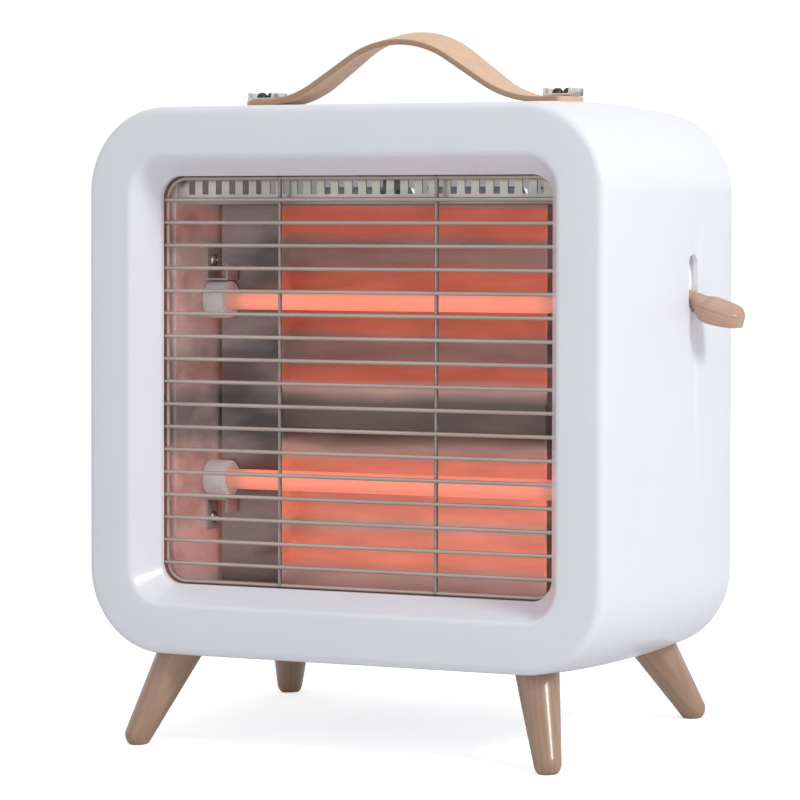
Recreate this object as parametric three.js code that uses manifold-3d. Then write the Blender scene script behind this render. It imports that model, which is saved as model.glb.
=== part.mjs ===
// A free-standing quartz heater: white moulded case that leans back on four splayed wooden legs,
// a wire guard, two heating tubes in ceramic holders, sheet-metal reflectors, a strap handle and a
// lever switch. Millimetres, +Z up. The front faces -Y. X = 0 is the middle of the case and Y = 0
// the middle of its depth. Everything in the case is drawn upright and then leans back with it.
// "Depth" counts back from the front face.
import * as THREE from "three";
import { mergeVertices } from "three/addons/utils/BufferGeometryUtils.js";
import Module from "manifold-3d";

const wasm = await Module();
wasm.setup();

// ---------- driving dimensions ----------
const clearance = 0.3; // between pieces that touch or pass through each other

// case
const bodyWidth = 340;
const bodyHeight = 322;
const bodyDepth = 180;
const bodyCorner = 50;
const bodyCrown = 1.9; // the sides swell by this much at half depth
const rearDraw = 2.2; // and close in by this much at the rear edge
const caseLean = 3.9; // degrees that the case leans back
const wall = 3;
const frontEdgeRound = 5;
const rearEdgeRound = 4;
const ringWidth = 29.2; // flat white ring round the recess
const ringEdgeRound = 4;
const funnelInset = 11.1; // the recess closes in by this much on each side
const funnelDepth = 17.3;
const lipDepth = 3; // straight lip at the bottom of the funnel
const lipRound = 1.2;
const lipWall = 3.4;
const openingCorner = 13;
const rimWall = 6; // thicker rim round the rear cover
const rimLength = 9;

// rear cover
const coverRecess = 1.2;
const coverThickness = 3;
const coverFit = 0.4;
const coverFlange = 7; // stiffening wall inside the cover's edge
const coverFlangeWall = 2;
const louvreLength = 66;
const louvreHeight = 5;
const louvrePitchX = 78;
const louvrePitchZ = 11;
const louvreColumns = 3;
const louvreRowsTop = 5;
const louvreRowsBottom = 4;
const louvreTopInset = 40; // highest row below the cover's top edge
const louvreBottomInset = 57; // lowest row above the cover's bottom edge
const postInset = 26.5; // screw posts of the rear cover, from the case's sides
const postRadius = 5;
const coverScrewRadius = 1.8;
const pocketRadius = 5;
const pocketDepth = 1.4;
const glandInset = 66; // from the cover's side edge
const glandRise = 24; // from the cover's bottom edge
const glandRadius = 6;
const glandFlange = 9;

// guard
const wireRadius = 1.2;
const frameWireRadius = 1.6;
const guardSideGap = 0.4; // from the opening to the middle of the frame wire
const guardTopGap = 1.1;
const guardCorner = 13;
const guardRows = 17;
const guardPitch = 13.45;
const guardTopRow = 12.8; // from the frame wire down to the highest row
const guardUprightX = 52;
const weld = 0.15; // how far crossing wires sink into each other

// sheet-metal chassis
const sheet = 1;
const chassisDepth = 27.3; // front face of the side plates' front flanges
const plateGap = 4.2; // from the side of the opening in to the side plate
const plateRise = 2.3; // the side plates reach past the opening
const plateDrop = 6.6;
const bossFlange = 6.5; // of the front flange past its screws
const rearFlange = 12;
const shieldDepth = 126.3; // front face of the heat shield
const shieldReach = 12.5; // past the side plates' inner faces
const shieldRise = 3; // above the hot chamber
const shieldSlotLength = 40;
const shieldSlotHeight = 5;
const shieldSlotPitch = 56;
const bossInset = 20.5; // from the case's sides
const bossRise = 73; // from the case's top and bottom
const bossRadius = 4.8;
const chassisScrewRadius = 1.8;

// hot chamber
const chamberInset = 16.7; // hot chamber's ceiling below the opening's top edge
const chamberDrop = 5.3; // its floor below the opening's bottom edge
const reflectorDepth = 90; // depth of the reflectors' front edges
const reflectorInset = 35.5; // from the side plates to the reflectors' ends
const troughDepth = 18;
const troughLand = 1.5; // flat edge above and below each trough
const upperTroughHeight = 112;
const lowerTroughHeight = 96;
const cheekGap = 3.5; // from the side plate to the cheek's front edge
const cheekFrontDepth = 74;
const stripDepth = 29.5;
const stripRise = 2; // vent strip's lower edge above the chamber's ceiling
const stripSlotWidth = 4.2;
const stripSlotHeight = 9.4;
const stripSlotDrop = 8.4; // middle of the slots below the strip's top edge
const stripSlotPitch = 9.25;
const stripSlotCount = 26;

// tubes
const upperTubeDrop = 56.7; // from the chamber's ceiling
const lowerTubeRise = 65.3; // from the chamber's floor
const tubeDepth = 67;
const tubeRadius = 6;
const tubeWall = 0.9;
const holderRadius = 11.25;
const holderLength = 14;
const holderSocket = 10; // how deep the tube sits in its holder
const holderChamfer = 0.8;
const filamentRadius = 3;
const filamentDiscs = 7;
const filamentDiscWidth = 2;
const filamentEnd = 6; // from the filament's end to the tube's end
const bracketWidth = 12;
const bracketSheet = 1.2;
const bracketFoot = 19; // foot on the side plate
const bracketArm = 15;
const bracketLip = 9;
const bracketScrewOffset = 12; // from the bracket's arm
const bracketScrewRadius = 1.8;
const bracketScrewHead = 3.6;
const bracketScrewLength = 5;

// legs
const legHeight = 47.7; // from the floor to the case's underside, at half depth
const frontLegInsetX = 51; // from the case's sides to a leg's axis at the underside
const frontLegInsetY = 21;
const frontLegSplayX = 16.6; // the foot stands out by this much
const frontLegSplayY = 22.9;
const rearLegInsetX = 44;
const rearLegInsetY = 16;
const rearLegSplayX = 13.7;
const rearLegSplayY = 19.3;
const legTopRadius = 12.7;
const legFootRadius = 8; // ball at the leg's foot
const soleCut = 2.3; // ground off the ball to make a flat sole
const studRadius = 4;
const studInLeg = 26;
const studAbove = 15; // how far the stud reaches into the case
const legBossRadius = 8;

// strap handle
const strapWidth = 30;
const strapThickness = 3.4;
const strapEdge = 0.8; // rounding of its long edges
const strapCorner = 8; // rounding of its ends
const strapLength = 217; // end to end, along the case
const strapFootX = 94; // from the crown to where the strap lies flat
const strapShift = -2.5; // the crown sits a little to the left
const strapRise = 37.5; // of the strap's middle at its crown, above its ends
const strapLean = 5.4; // the rear edge is this much higher at the crown
const crownRadius = 60;
const toeRadius = 66;
const strapPlateLength = 14;
const strapPlateWidth = 16;
const strapPlateThickness = 1.5;
const strapPlateX = 99.7;
const strapScrewSpacing = 7;
const strapScrewRadius = 1.6;
const strapScrewHead = 3.2;
const strapBossRadius = 4.2;
const strapBossLength = 9;

// lever switch
const leverDepth = 116.5; // depth of the lever's middle
const leverDrop = 102; // pivot below the case's top
const leverRest = 15; // degrees that the lever hangs at rest
const slotWidth = 12;
const slotLength = 33.2;
const switchWidth = 14.4;
const switchDepth = 26;
const switchHeight = 28;
const switchRear = 106; // depth of the switch's rear face
const bushingRadius = 6;
const bushingLength = 4;
const shaftRadius = 3;
const hubRadius = 7;
const hubLength = 10;
const armHeight = 7;
const armThickness = 5;
const tangLength = 16;
const tangHeight = 5;
const tangThickness = 4;
const neckInside = 8; // of the grip behind the case's skin
const neckOutside = 5; // before it swells
const paddleReach = 37.5; // of the grip's end from the case's skin
const neckRadius = 5.1;
const paddleHalfWidth = 10;
const paddleHalfThickness = 5.2;

// safety switches
const tiltX = 40;
const tiltDepth = 130;
const tiltWidth = 26;
const tiltLength = 18;
const tiltHeight = 22;
const cutoutRadius = 8.5;
const cutoutHeight = 7;
const cutoutDepth = 66;

// ---------- derived places ----------
const front = -bodyDepth / 2;
const middle = legHeight + bodyHeight / 2;
const openingInset = ringWidth + funnelInset;
const openingHalfWidth = bodyWidth / 2 - openingInset;
const openingHalfHeight = bodyHeight / 2 - openingInset;
const guardHalfWidth = openingHalfWidth - guardSideGap;
const guardHalfHeight = openingHalfHeight - guardTopGap;
const lipBack = funnelDepth + lipDepth;
const plateInnerX = openingHalfWidth - plateGap;
const plateOuterX = plateInnerX + sheet;
const plateTop = openingHalfHeight + plateRise;
const plateBottom = -openingHalfHeight - plateDrop;
const chamberTop = openingHalfHeight - chamberInset;
const chamberBottom = -openingHalfHeight - chamberDrop;
const upperTubeZ = chamberTop - upperTubeDrop;
const lowerTubeZ = chamberBottom + lowerTubeRise;
const upperTroughBottom = chamberTop - upperTroughHeight;
const lowerTroughTop = chamberBottom + lowerTroughHeight;
const reflectorHalfLength = plateInnerX - reflectorInset;
const postX = bodyWidth / 2 - postInset;
const postZ = bodyHeight / 2 - postInset;
const bossX = bodyWidth / 2 - bossInset;
const bossZ = bodyHeight / 2 - bossRise;
const leverZ = bodyHeight / 2 - leverDrop;
const chassisBack = shieldDepth - clearance;
const pivotX = plateOuterX + clearance + switchWidth / 2;
const caseTop = legHeight + bodyHeight;
const atDepth = (depth) => front + depth;

// ---------- finishes ----------
const finish = (name, color, roughness, metalness = 0) =>
  new THREE.MeshStandardMaterial({ name, color, roughness, metalness });
const whitePlastic = finish("white plastic", 0xf1f2f6, 0.35);
const greyWire = finish("plated wire", 0xa8a39c, 0.35, 0.9);
const brightSheet = finish("bright sheet", 0xb9b2ac, 0.25, 0.95);
const galvanised = finish("galvanised sheet", 0x9a9d9e, 0.5, 0.8);
const ceramic = finish("ceramic", 0xd9d3c8, 0.7);
const quartz = finish("glowing quartz", 0xffa082, 0.3);
const element = finish("heating element", 0xff6a3a, 0.6);
const chrome = finish("chrome", 0xc9cbce, 0.15, 1);
const darkScrew = finish("dark screw", 0x35332f, 0.35, 0.8);
const steel = finish("steel", 0x8e9092, 0.4, 0.9);
const leather = finish("tan strap", 0xd0a884, 0.6);
const wood = finish("oiled wood", 0xa9714a, 0.45);
const blackPlastic = finish("black plastic", 0x222224, 0.5);

// ---------- shape helpers ----------
const X_AXIS = new THREE.Vector3(1, 0, 0);
const Y_AXIS = new THREE.Vector3(0, 1, 0);
const Z_AXIS = new THREE.Vector3(0, 0, 1);

/** How far the case's skin has closed in at a depth; it swells first and then draws in. */
function skin(depth) {
  const t = depth / bodyDepth;
  return (2 * rearDraw + 4 * bodyCrown) * t ** 2 - (4 * bodyCrown + rearDraw) * t;
}

/** Turns the upright case about its middle to the way it stands. */
const leaned = new THREE.Matrix4()
  .makeTranslation(0, 0, middle)
  .multiply(new THREE.Matrix4().makeRotationX(-THREE.MathUtils.degToRad(caseLean)))
  .multiply(new THREE.Matrix4().makeTranslation(0, 0, -middle));
const upright = leaned.clone().invert();

/** A geometry's points and faces alone, with shared corners. */
function bare(geometry) {
  const copy = geometry.index ? geometry.toNonIndexed() : geometry.clone();
  copy.deleteAttribute("normal");
  copy.deleteAttribute("uv");
  return mergeVertices(copy, 1e-4);
}

/** A closed geometry with all its faces turned to point out. */
function facingOut(geometry) {
  const index = [...geometry.index.array];
  const corner = (i) => new THREE.Vector3().fromBufferAttribute(geometry.attributes.position, index[i]);
  let volume = 0;
  for (let i = 0; i < index.length; i += 3) {
    volume += corner(i).dot(corner(i + 1).cross(corner(i + 2)));
  }
  return volume < 0 ? geometry.setIndex(index.reverse()) : geometry;
}

/** A closed geometry as a solid that can be joined and cut. */
function solid(geometry) {
  const closed = bare(geometry);
  const vertProperties = closed.attributes.position.array;
  const triVerts = new Uint32Array(closed.index.array);
  return new wasm.Manifold(new wasm.Mesh({ numProp: 3, vertProperties, triVerts }));
}

/** The geometry of a solid. */
function shape(made) {
  const mesh = made.getMesh();
  const geometry = new THREE.BufferGeometry();
  geometry.setAttribute("position", new THREE.BufferAttribute(mesh.vertProperties, 3));
  geometry.setIndex(new THREE.BufferAttribute(mesh.triVerts, 1));
  geometry.computeVertexNormals();
  return geometry;
}

const joined = (base, ...pieces) => pieces.reduce((sum, piece) => sum.add(solid(piece)), base);
const cut = (base, ...tools) => tools.reduce((left, tool) => left.subtract(solid(tool)), base);
const moved = (geometry, x, y, z) => geometry.clone().translate(x, y, z);
const mirroredX = (geometry) => facingOut(bare(geometry).scale(-1, 1, 1));

/** A round bar from one end to the other along an axis. */
function bar(radius, from, to, axis, sides = 12) {
  const geometry = new THREE.CylinderGeometry(radius, radius, to - from, sides);
  geometry.translate(0, (from + to) / 2, 0);
  return geometry.applyQuaternion(new THREE.Quaternion().setFromUnitVectors(Y_AXIS, axis));
}

/** A turned piece: the profile [radius, along] is revolved about an axis. */
function turned(profile, axis, sides = 16) {
  const points = profile.map(([radius, along]) => new THREE.Vector2(radius, along));
  const geometry = facingOut(bare(new THREE.LatheGeometry(points, sides)));
  return geometry.applyQuaternion(new THREE.Quaternion().setFromUnitVectors(Y_AXIS, axis));
}

/** Turns a corner list [x, y, radius] into an outline with round corners. */
function rounded(corners, steps, closed = true) {
  const outline = [];
  corners.forEach(([x, y, radius = 0], i) => {
    const inner = closed || (i > 0 && i < corners.length - 1);
    if (!radius || !inner) {
      outline.push([x, y]);
      return;
    }
    const here = new THREE.Vector2(x, y);
    const before = corners.at(i - 1);
    const after = corners[(i + 1) % corners.length];
    const back = new THREE.Vector2(before[0], before[1]).sub(here).normalize();
    const on = new THREE.Vector2(after[0], after[1]).sub(here).normalize();
    const half = Math.acos(THREE.MathUtils.clamp(back.dot(on), -1, 1)) / 2;
    const reach = radius / Math.tan(half);
    const start = here.clone().addScaledVector(back, reach);
    const end = here.clone().addScaledVector(on, reach);
    const centre = back.clone().add(on).normalize();
    centre.multiplyScalar(radius / Math.sin(half)).add(here);
    const a = start.clone().sub(centre);
    const b = end.clone().sub(centre);
    const sweep = Math.atan2(a.cross(b), a.dot(b));
    for (let k = 0; k <= steps; k++) {
      const p = a.clone().rotateAround(new THREE.Vector2(), (sweep * k) / steps).add(centre);
      outline.push([p.x, p.y]);
    }
  });
  return outline;
}

/** A flat shape from an outline, with holes. */
function flat(outline, holes = []) {
  const made = new THREE.Shape(outline.map(([x, y]) => new THREE.Vector2(x, y)));
  made.holes = holes.map((hole) => new THREE.Path(hole.map(([x, y]) => new THREE.Vector2(x, y))));
  return made;
}

const box2 = (x0, x1, y0, y1, radius = 0) => [
  [x0, y0, radius],
  [x1, y0, radius],
  [x1, y1, radius],
  [x0, y1, radius],
];

/** A circle, or a slot with round ends when it has a length. */
function roundHole(x, y, radius, length = 0, steps = 5) {
  const hole = [];
  const straight = Math.max(length / 2 - radius, 0);
  for (const side of [1, -1]) {
    for (let k = 0; k <= steps; k++) {
      const angle = Math.PI * (k / steps - 0.5) + (side < 0 ? Math.PI : 0);
      hole.push([x + side * straight + radius * Math.cos(angle), y + radius * Math.sin(angle)]);
    }
  }
  return straight ? hole : hole.filter((_, i) => i !== steps && i !== 2 * steps + 1);
}

const extruded = (face, length) =>
  new THREE.ExtrudeGeometry(face, { depth: length, bevelEnabled: false, steps: 1 });
/** A shape drawn in X and Z, extruded along Y. */
const alongY = (face, y0, y1) =>
  extruded(face, y1 - y0).rotateX(Math.PI / 2).translate(0, y1, 0);
/** A shape drawn in X and Y, extruded along Z. */
const alongZ = (face, z0, z1) => extruded(face, z1 - z0).translate(0, 0, z0);
/** A shape drawn in Y and Z, extruded along X. */
const alongX = (face, x0, x1) =>
  extruded(face, x1 - x0)
    .applyMatrix4(new THREE.Matrix4().makeBasis(Y_AXIS, Z_AXIS, X_AXIS))
    .translate(x0, 0, 0);

/** The outline of a folded sheet: a line with a thickness to its left, mitred at the folds. */
function folded(line, thickness) {
  const points = line.map(([x, y]) => new THREE.Vector2(x, y));
  const normals = points.slice(1).map((p, i) => {
    const along = p.clone().sub(points[i]).normalize();
    return new THREE.Vector2(-along.y, along.x);
  });
  const far = points.map((p, i) => {
    const a = normals[Math.max(i - 1, 0)];
    const b = normals[Math.min(i, normals.length - 1)];
    const mitre = a.clone().add(b).normalize();
    return p.clone().addScaledVector(mitre, thickness / mitre.dot(a));
  });
  return [...points, ...far.reverse()].map((p) => [p.x, p.y]);
}

/** Joins rings of equally many points into one closed skin, capped or closed on itself. */
function lofted(rings, closed = false) {
  const count = rings[0].length;
  const index = [];
  const loops = closed ? rings.length : rings.length - 1;
  for (let r = 0; r < loops; r++) {
    const next = ((r + 1) % rings.length) * count;
    for (let i = 0; i < count; i++) {
      const j = (i + 1) % count;
      index.push(r * count + i, r * count + j, next + j);
      index.push(r * count + i, next + j, next + i);
    }
  }
  const points = rings.flat();
  if (!closed) {
    for (const [r, turn] of [
      [0, 1],
      [rings.length - 1, -1],
    ]) {
      const centre = points.length;
      const sum = rings[r].reduce((s, p) => s.add(p), new THREE.Vector3());
      points.push(sum.divideScalar(count));
      for (let i = 0; i < count; i++) {
        const j = (i + 1) % count;
        const [a, b] = turn > 0 ? [j, i] : [i, j];
        index.push(centre, r * count + a, r * count + b);
      }
    }
  }
  return facingOut(new THREE.BufferGeometry().setFromPoints(points).setIndex(index));
}

/** A rounded rectangle in X and Z at a depth, set in from the case's outline. */
function bodyRing(inset, depth, corner, steps = 8) {
  return rectangleRing(bodyWidth / 2 - inset, bodyHeight / 2 - inset, corner, depth, steps);
}

function rectangleRing(halfWidth, halfHeight, corner, depth, steps = 8) {
  const ring = [];
  for (let k = 0; k < 4; k++) {
    const [sx, sz] = [k === 0 || k === 3 ? 1 : -1, k < 2 ? 1 : -1];
    for (let s = 0; s <= steps; s++) {
      const angle = ((k + s / steps) * Math.PI) / 2;
      const x = sx * (halfWidth - corner) + corner * Math.cos(angle);
      const z = sz * (halfHeight - corner) + corner * Math.sin(angle);
      ring.push(new THREE.Vector3(x, atDepth(depth), middle + z));
    }
  }
  return ring;
}

const heater = new THREE.Group();
const assembly = new THREE.Group();
const leaning = new THREE.Group();
leaning.applyMatrix4(leaned);
assembly.add(leaning);
heater.add(assembly);

function add(name, geometry, material, parent = leaning) {
  const mesh = new THREE.Mesh(geometry, material);
  mesh.name = name;
  parent.add(mesh);
  return mesh;
}

const sides = [
  ["left", -1],
  ["right", 1],
];

// ---------- case ----------
const skinStations = [0.2, 0.4, 0.6, 0.8].map((t) => t * bodyDepth);

/** The space that the case fills, grown by a margin all round. */
function bodyBlock(grow) {
  const depths = [-grow, ...skinStations, bodyDepth + grow];
  return lofted(
    depths.map((depth) => {
      const inset = skin(depth) - grow;
      return bodyRing(inset, depth, Math.max(bodyCorner - inset, openingCorner));
    }),
  );
}

/** Profile [inset, depth] of the case's wall: skin, ring, funnel, lip and back along the inside. */
function housingProfile() {
  const rimStart = bodyDepth - rimLength;
  const rimFrom = rimStart - (rimWall - wall);
  return rounded(
    [
      [skin(bodyDepth), bodyDepth, rearEdgeRound],
      ...skinStations.map((depth) => [skin(depth), depth]).reverse(),
      [0, 0, frontEdgeRound],
      [ringWidth, 0, ringEdgeRound],
      [openingInset, funnelDepth, lipRound],
      [openingInset, lipBack],
      [openingInset - lipWall, lipBack],
      [ringWidth - wall / 2, wall],
      [wall, wall, frontEdgeRound - wall],
      ...skinStations.map((depth) => [wall + skin(depth), depth]),
      [wall + skin(rimFrom), rimFrom],
      [rimWall + skin(rimStart), rimStart],
      [rimWall + skin(bodyDepth), bodyDepth],
    ],
    4,
  );
}

function housingShell() {
  const rings = housingProfile().map(([inset, depth]) =>
    bodyRing(inset, depth, Math.max(bodyCorner - inset, openingCorner)),
  );
  return solid(lofted(rings, true));
}

const corners4 = [
  ["front_left", -1, -1],
  ["front_right", 1, -1],
  ["rear_left", -1, 1],
  ["rear_right", 1, 1],
];

/** Where a leg's axis meets the underside of the case, on the standing heater. */
function legTop(sx, sy) {
  const x = bodyWidth / 2 - (sy < 0 ? frontLegInsetX : rearLegInsetX);
  const y = bodyDepth / 2 - (sy < 0 ? frontLegInsetY : rearLegInsetY);
  return new THREE.Vector3(sx * x, sy * y, legHeight).applyMatrix4(leaned);
}

/** Middle of the ball at a leg's foot, on the standing heater. */
function legBall(sx, sy) {
  const ball = legTop(sx, sy);
  ball.x += sx * (sy < 0 ? frontLegSplayX : rearLegSplayX);
  ball.y += sy * (sy < 0 ? frontLegSplayY : rearLegSplayY);
  ball.z = legFootRadius - soleCut;
  return ball;
}

/** Unit direction of a leg's axis, pointing up out of the leg. */
const legAxis = (sx, sy) => legTop(sx, sy).sub(legBall(sx, sy)).normalize();

/** A round bar along a leg's axis; lengths count up from the underside of the case. */
function legBar(sx, sy, radius, from, to, count = 12) {
  const geometry = bar(radius, from, to, legAxis(sx, sy), count);
  const top = legTop(sx, sy);
  return geometry.translate(top.x, top.y, top.z);
}

const strapScrews = sides.flatMap(([, sx]) =>
  [-0.5, 0.5].map((k) => sx * (strapPlateX + k * sx * strapScrewSpacing)),
);
const strapBossFoot = caseTop - wall - strapBossLength;
const strapBase = caseTop - skin(bodyDepth / 2 - strapWidth / 2) + clearance;
const coverBack = bodyDepth - coverRecess;
const coverFront = coverBack - coverThickness;
const postEnd = coverFront - clearance;
const four = [
  [-1, -1],
  [1, -1],
  [-1, 1],
  [1, 1],
];

function leverSlot() {
  const outline = roundHole(leverZ + middle, atDepth(leverDepth), slotWidth / 2, slotLength, 8);
  const face = flat(outline.map(([z, y]) => [y, z]));
  return alongX(face, bodyWidth / 2 - 12, bodyWidth / 2 + 12);
}

function frontHousing() {
  const inside = solid(bodyBlock(-0.6));
  let made = housingShell();
  for (const [sx, sz] of four) {
    const post = bar(postRadius, atDepth(wall - 1), atDepth(postEnd), Y_AXIS);
    const boss = bar(bossRadius, atDepth(wall - 1), atDepth(chassisDepth - clearance), Y_AXIS);
    made = joined(made, moved(post, sx * postX, 0, middle + sz * postZ));
    made = joined(made, moved(boss, sx * bossX, 0, middle + sz * bossZ));
  }
  for (const x of strapScrews) {
    const boss = bar(strapBossRadius, strapBossFoot, caseTop - wall + bodyCrown + 1, Z_AXIS);
    made = joined(made, moved(boss, x, 0, 0));
  }
  for (const [, sx, sy] of corners4) {
    const boss = legBar(sx, sy, legBossRadius, -legBossRadius, studAbove + 3).applyMatrix4(upright);
    made = made.add(solid(boss).intersect(inside));
  }
  for (const [sx, sz] of four) {
    const postHole = bar(coverScrewRadius + clearance, atDepth(postEnd - 16), atDepth(bodyDepth), Y_AXIS);
    const bossHole = bar(chassisScrewRadius + clearance, atDepth(12), atDepth(chassisDepth + 1), Y_AXIS);
    made = cut(made, moved(postHole, sx * postX, 0, middle + sz * postZ));
    made = cut(made, moved(bossHole, sx * bossX, 0, middle + sz * bossZ));
  }
  for (const x of strapScrews) {
    const hole = bar(strapScrewRadius + clearance, strapBossFoot - 1, strapBase + 1, Z_AXIS);
    made = cut(made, moved(hole, x, 0, 0));
  }
  for (const [, sx, sy] of corners4) {
    const hole = legBar(sx, sy, studRadius + clearance, -14, studAbove + clearance);
    made = cut(made, hole.applyMatrix4(upright));
  }
  return cut(made, leverSlot());
}
add("front_housing", shape(frontHousing()), whitePlastic);

// ---------- rear cover ----------
const coverInset = rimWall + skin(bodyDepth) + coverFit;
const coverHalfWidth = bodyWidth / 2 - coverInset;
const coverHalfHeight = bodyHeight / 2 - coverInset;
const coverCorner = bodyCorner - coverInset;
const glandX = glandInset - coverHalfWidth;
const glandZ = glandRise - coverHalfHeight;

function louvres() {
  const holes = [];
  const group = (rows, top) => {
    for (let row = 0; row < rows; row++) {
      for (let column = 0; column < louvreColumns; column++) {
        const x = (column - (louvreColumns - 1) / 2) * louvrePitchX;
        holes.push(roundHole(x, middle + top - row * louvrePitchZ, louvreHeight / 2, louvreLength, 3));
      }
    }
  };
  group(louvreRowsTop, coverHalfHeight - louvreTopInset);
  group(louvreRowsBottom, louvreBottomInset - coverHalfHeight + (louvreRowsBottom - 1) * louvrePitchZ);
  return holes;
}

function rearCover() {
  const outline = rounded(
    box2(-coverHalfWidth, coverHalfWidth, middle - coverHalfHeight, middle + coverHalfHeight, coverCorner),
    8,
  );
  const panel = alongY(flat(outline, louvres()), atDepth(coverFront), atDepth(coverBack));
  const flangeStart = coverFront - coverFlange;
  const flange = lofted(
    [
      [0, coverFront + 0.5],
      [0, flangeStart],
      [coverFlangeWall, flangeStart],
      [coverFlangeWall, coverFront + 0.5],
    ].map(([inset, depth]) =>
      rectangleRing(coverHalfWidth - inset, coverHalfHeight - inset, coverCorner - inset, depth),
    ),
    true,
  );
  let made = joined(solid(panel), flange);
  for (const [sx, sz] of four) {
    const hole = bar(coverScrewRadius + clearance, atDepth(flangeStart), atDepth(bodyDepth), Y_AXIS);
    const pocket = bar(pocketRadius, atDepth(coverBack - pocketDepth), atDepth(bodyDepth), Y_AXIS, 16);
    made = cut(made, moved(hole, sx * postX, 0, middle + sz * postZ));
    made = cut(made, moved(pocket, sx * postX, 0, middle + sz * postZ));
  }
  const glandHole = bar(glandRadius + clearance, atDepth(flangeStart), atDepth(bodyDepth), Y_AXIS, 16);
  return cut(made, moved(glandHole, glandX, 0, middle + glandZ));
}
add("rear_cover", shape(rearCover()), whitePlastic);

/** A pan-head screw along an axis: its shank points back from the seat, its head stands on it. */
function panScrew(radius, headRadius, headHeight, length, axis, count = 10) {
  const profile = [
    [0, -length],
    [radius, -length + radius],
    [radius, 0],
    [headRadius, 0],
    [headRadius, headHeight * 0.45],
    [headRadius * 0.7, headHeight * 0.87],
    [0, headHeight],
  ];
  return turned(profile, axis, count);
}

four.forEach(([sx, sz], i) => {
  const screw = panScrew(coverScrewRadius, pocketRadius - 1, 1.9, 14, Y_AXIS);
  const seat = atDepth(coverBack - pocketDepth + clearance);
  add(`cover_screw_${i + 1}`, moved(screw, sx * postX, seat, middle + sz * postZ), steel);
});

/** Cord bushing with a groove that grips the panel and a shallow blind mouth. */
function cordGland() {
  const groove = coverThickness / 2 + clearance;
  const profile = [
    [0, -groove - 2.5],
    [glandRadius + 1.4, -groove - 2.5],
    [glandRadius + 1.4, -groove],
    [glandRadius, -groove],
    [glandRadius, groove],
    [glandFlange, groove],
    [glandFlange, groove + 2],
    [glandFlange - 1.2, groove + 3],
    [4.2, groove + 3],
    [3.6, groove + 0.8],
    [0, groove + 0.8],
  ];
  return moved(turned(profile, Y_AXIS), glandX, atDepth(coverFront + coverThickness / 2), middle + glandZ);
}
add("cord_gland", cordGland(), blackPlastic);

// ---------- guard ----------
const rowDepth = lipBack + clearance + 0.1 + wireRadius;
const frameDepth = rowDepth + wireRadius + frameWireRadius - weld;
const uprightDepth = rowDepth + 2 * wireRadius - weld;

function guard() {
  const ringCount = 8;
  const rings = Array.from({ length: ringCount }, (_, i) => {
    const angle = (2 * Math.PI * (i + 0.5)) / ringCount;
    const inset = frameWireRadius * Math.cos(angle);
    const corner = guardCorner - inset;
    const depth = frameDepth + frameWireRadius * Math.sin(angle);
    return rectangleRing(guardHalfWidth - inset, guardHalfHeight - inset, corner, depth, 5);
  });
  let made = solid(lofted(rings, true));
  const reach = guardHalfWidth + frameWireRadius * 0.6;
  const row = bar(wireRadius, -reach, reach, X_AXIS, 8);
  for (let i = 0; i < guardRows; i++) {
    const z = guardHalfHeight - guardTopRow - i * guardPitch;
    made = joined(made, moved(row, 0, atDepth(rowDepth), middle + z));
  }
  const stay = bar(wireRadius, -guardHalfHeight, guardHalfHeight, Z_AXIS, 8);
  for (const sx of [-1, 1]) {
    made = joined(made, moved(stay, sx * guardUprightX, atDepth(uprightDepth), middle));
  }
  return made;
}
add("grille", shape(guard()), greyWire);

// ---------- sheet-metal chassis ----------
const tubes = [
  ["upper", 1, upperTubeZ],
  ["lower", -1, lowerTubeZ],
];
const bracketSeat = holderRadius + clearance; // bracket arm's face, from the tube's axis
const bracketScrewZ = (up, tubeZ) => middle + tubeZ + up * (bracketSeat + bracketScrewOffset);

/** Side plate: web with a front flange on the case's bosses and a rear flange for the shield. */
function sidePlate() {
  const line = [
    [bossX + bossFlange, atDepth(chassisDepth)],
    [plateInnerX, atDepth(chassisDepth)],
    [plateInnerX, atDepth(chassisBack)],
    [plateInnerX + rearFlange, atDepth(chassisBack)],
  ];
  const face = flat(folded([...line].reverse(), sheet));
  let made = solid(alongZ(face, middle + plateBottom, middle + plateTop));
  for (const sz of [-1, 1]) {
    const hole = bar(
      chassisScrewRadius + clearance,
      atDepth(chassisDepth - 2),
      atDepth(chassisDepth + 4),
      Y_AXIS,
    );
    made = cut(made, moved(hole, bossX, 0, middle + sz * bossZ));
  }
  for (const [, up, tubeZ] of tubes) {
    const y = atDepth(tubeDepth);
    const screwHole = bar(bracketScrewRadius + clearance, plateInnerX - 2, plateOuterX + 2, X_AXIS);
    const leadHole = bar(4, plateInnerX - 2, plateOuterX + 2, X_AXIS);
    made = cut(made, moved(screwHole, 0, y, bracketScrewZ(up, tubeZ)));
    made = cut(made, moved(leadHole, 0, y, middle + tubeZ));
  }
  return shape(made);
}
const rightPlate = sidePlate();
add("side_plate_right", rightPlate, brightSheet);
add("side_plate_left", mirroredX(rightPlate), brightSheet);

const chassisScrew = panScrew(chassisScrewRadius, 4, 2.4, 13, Y_AXIS);
four.forEach(([sx, sz], i) => {
  const seat = atDepth(chassisDepth + sheet + clearance);
  add(`chassis_screw_${i + 1}`, moved(chassisScrew, sx * bossX, seat, middle + sz * bossZ), steel);
});

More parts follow.
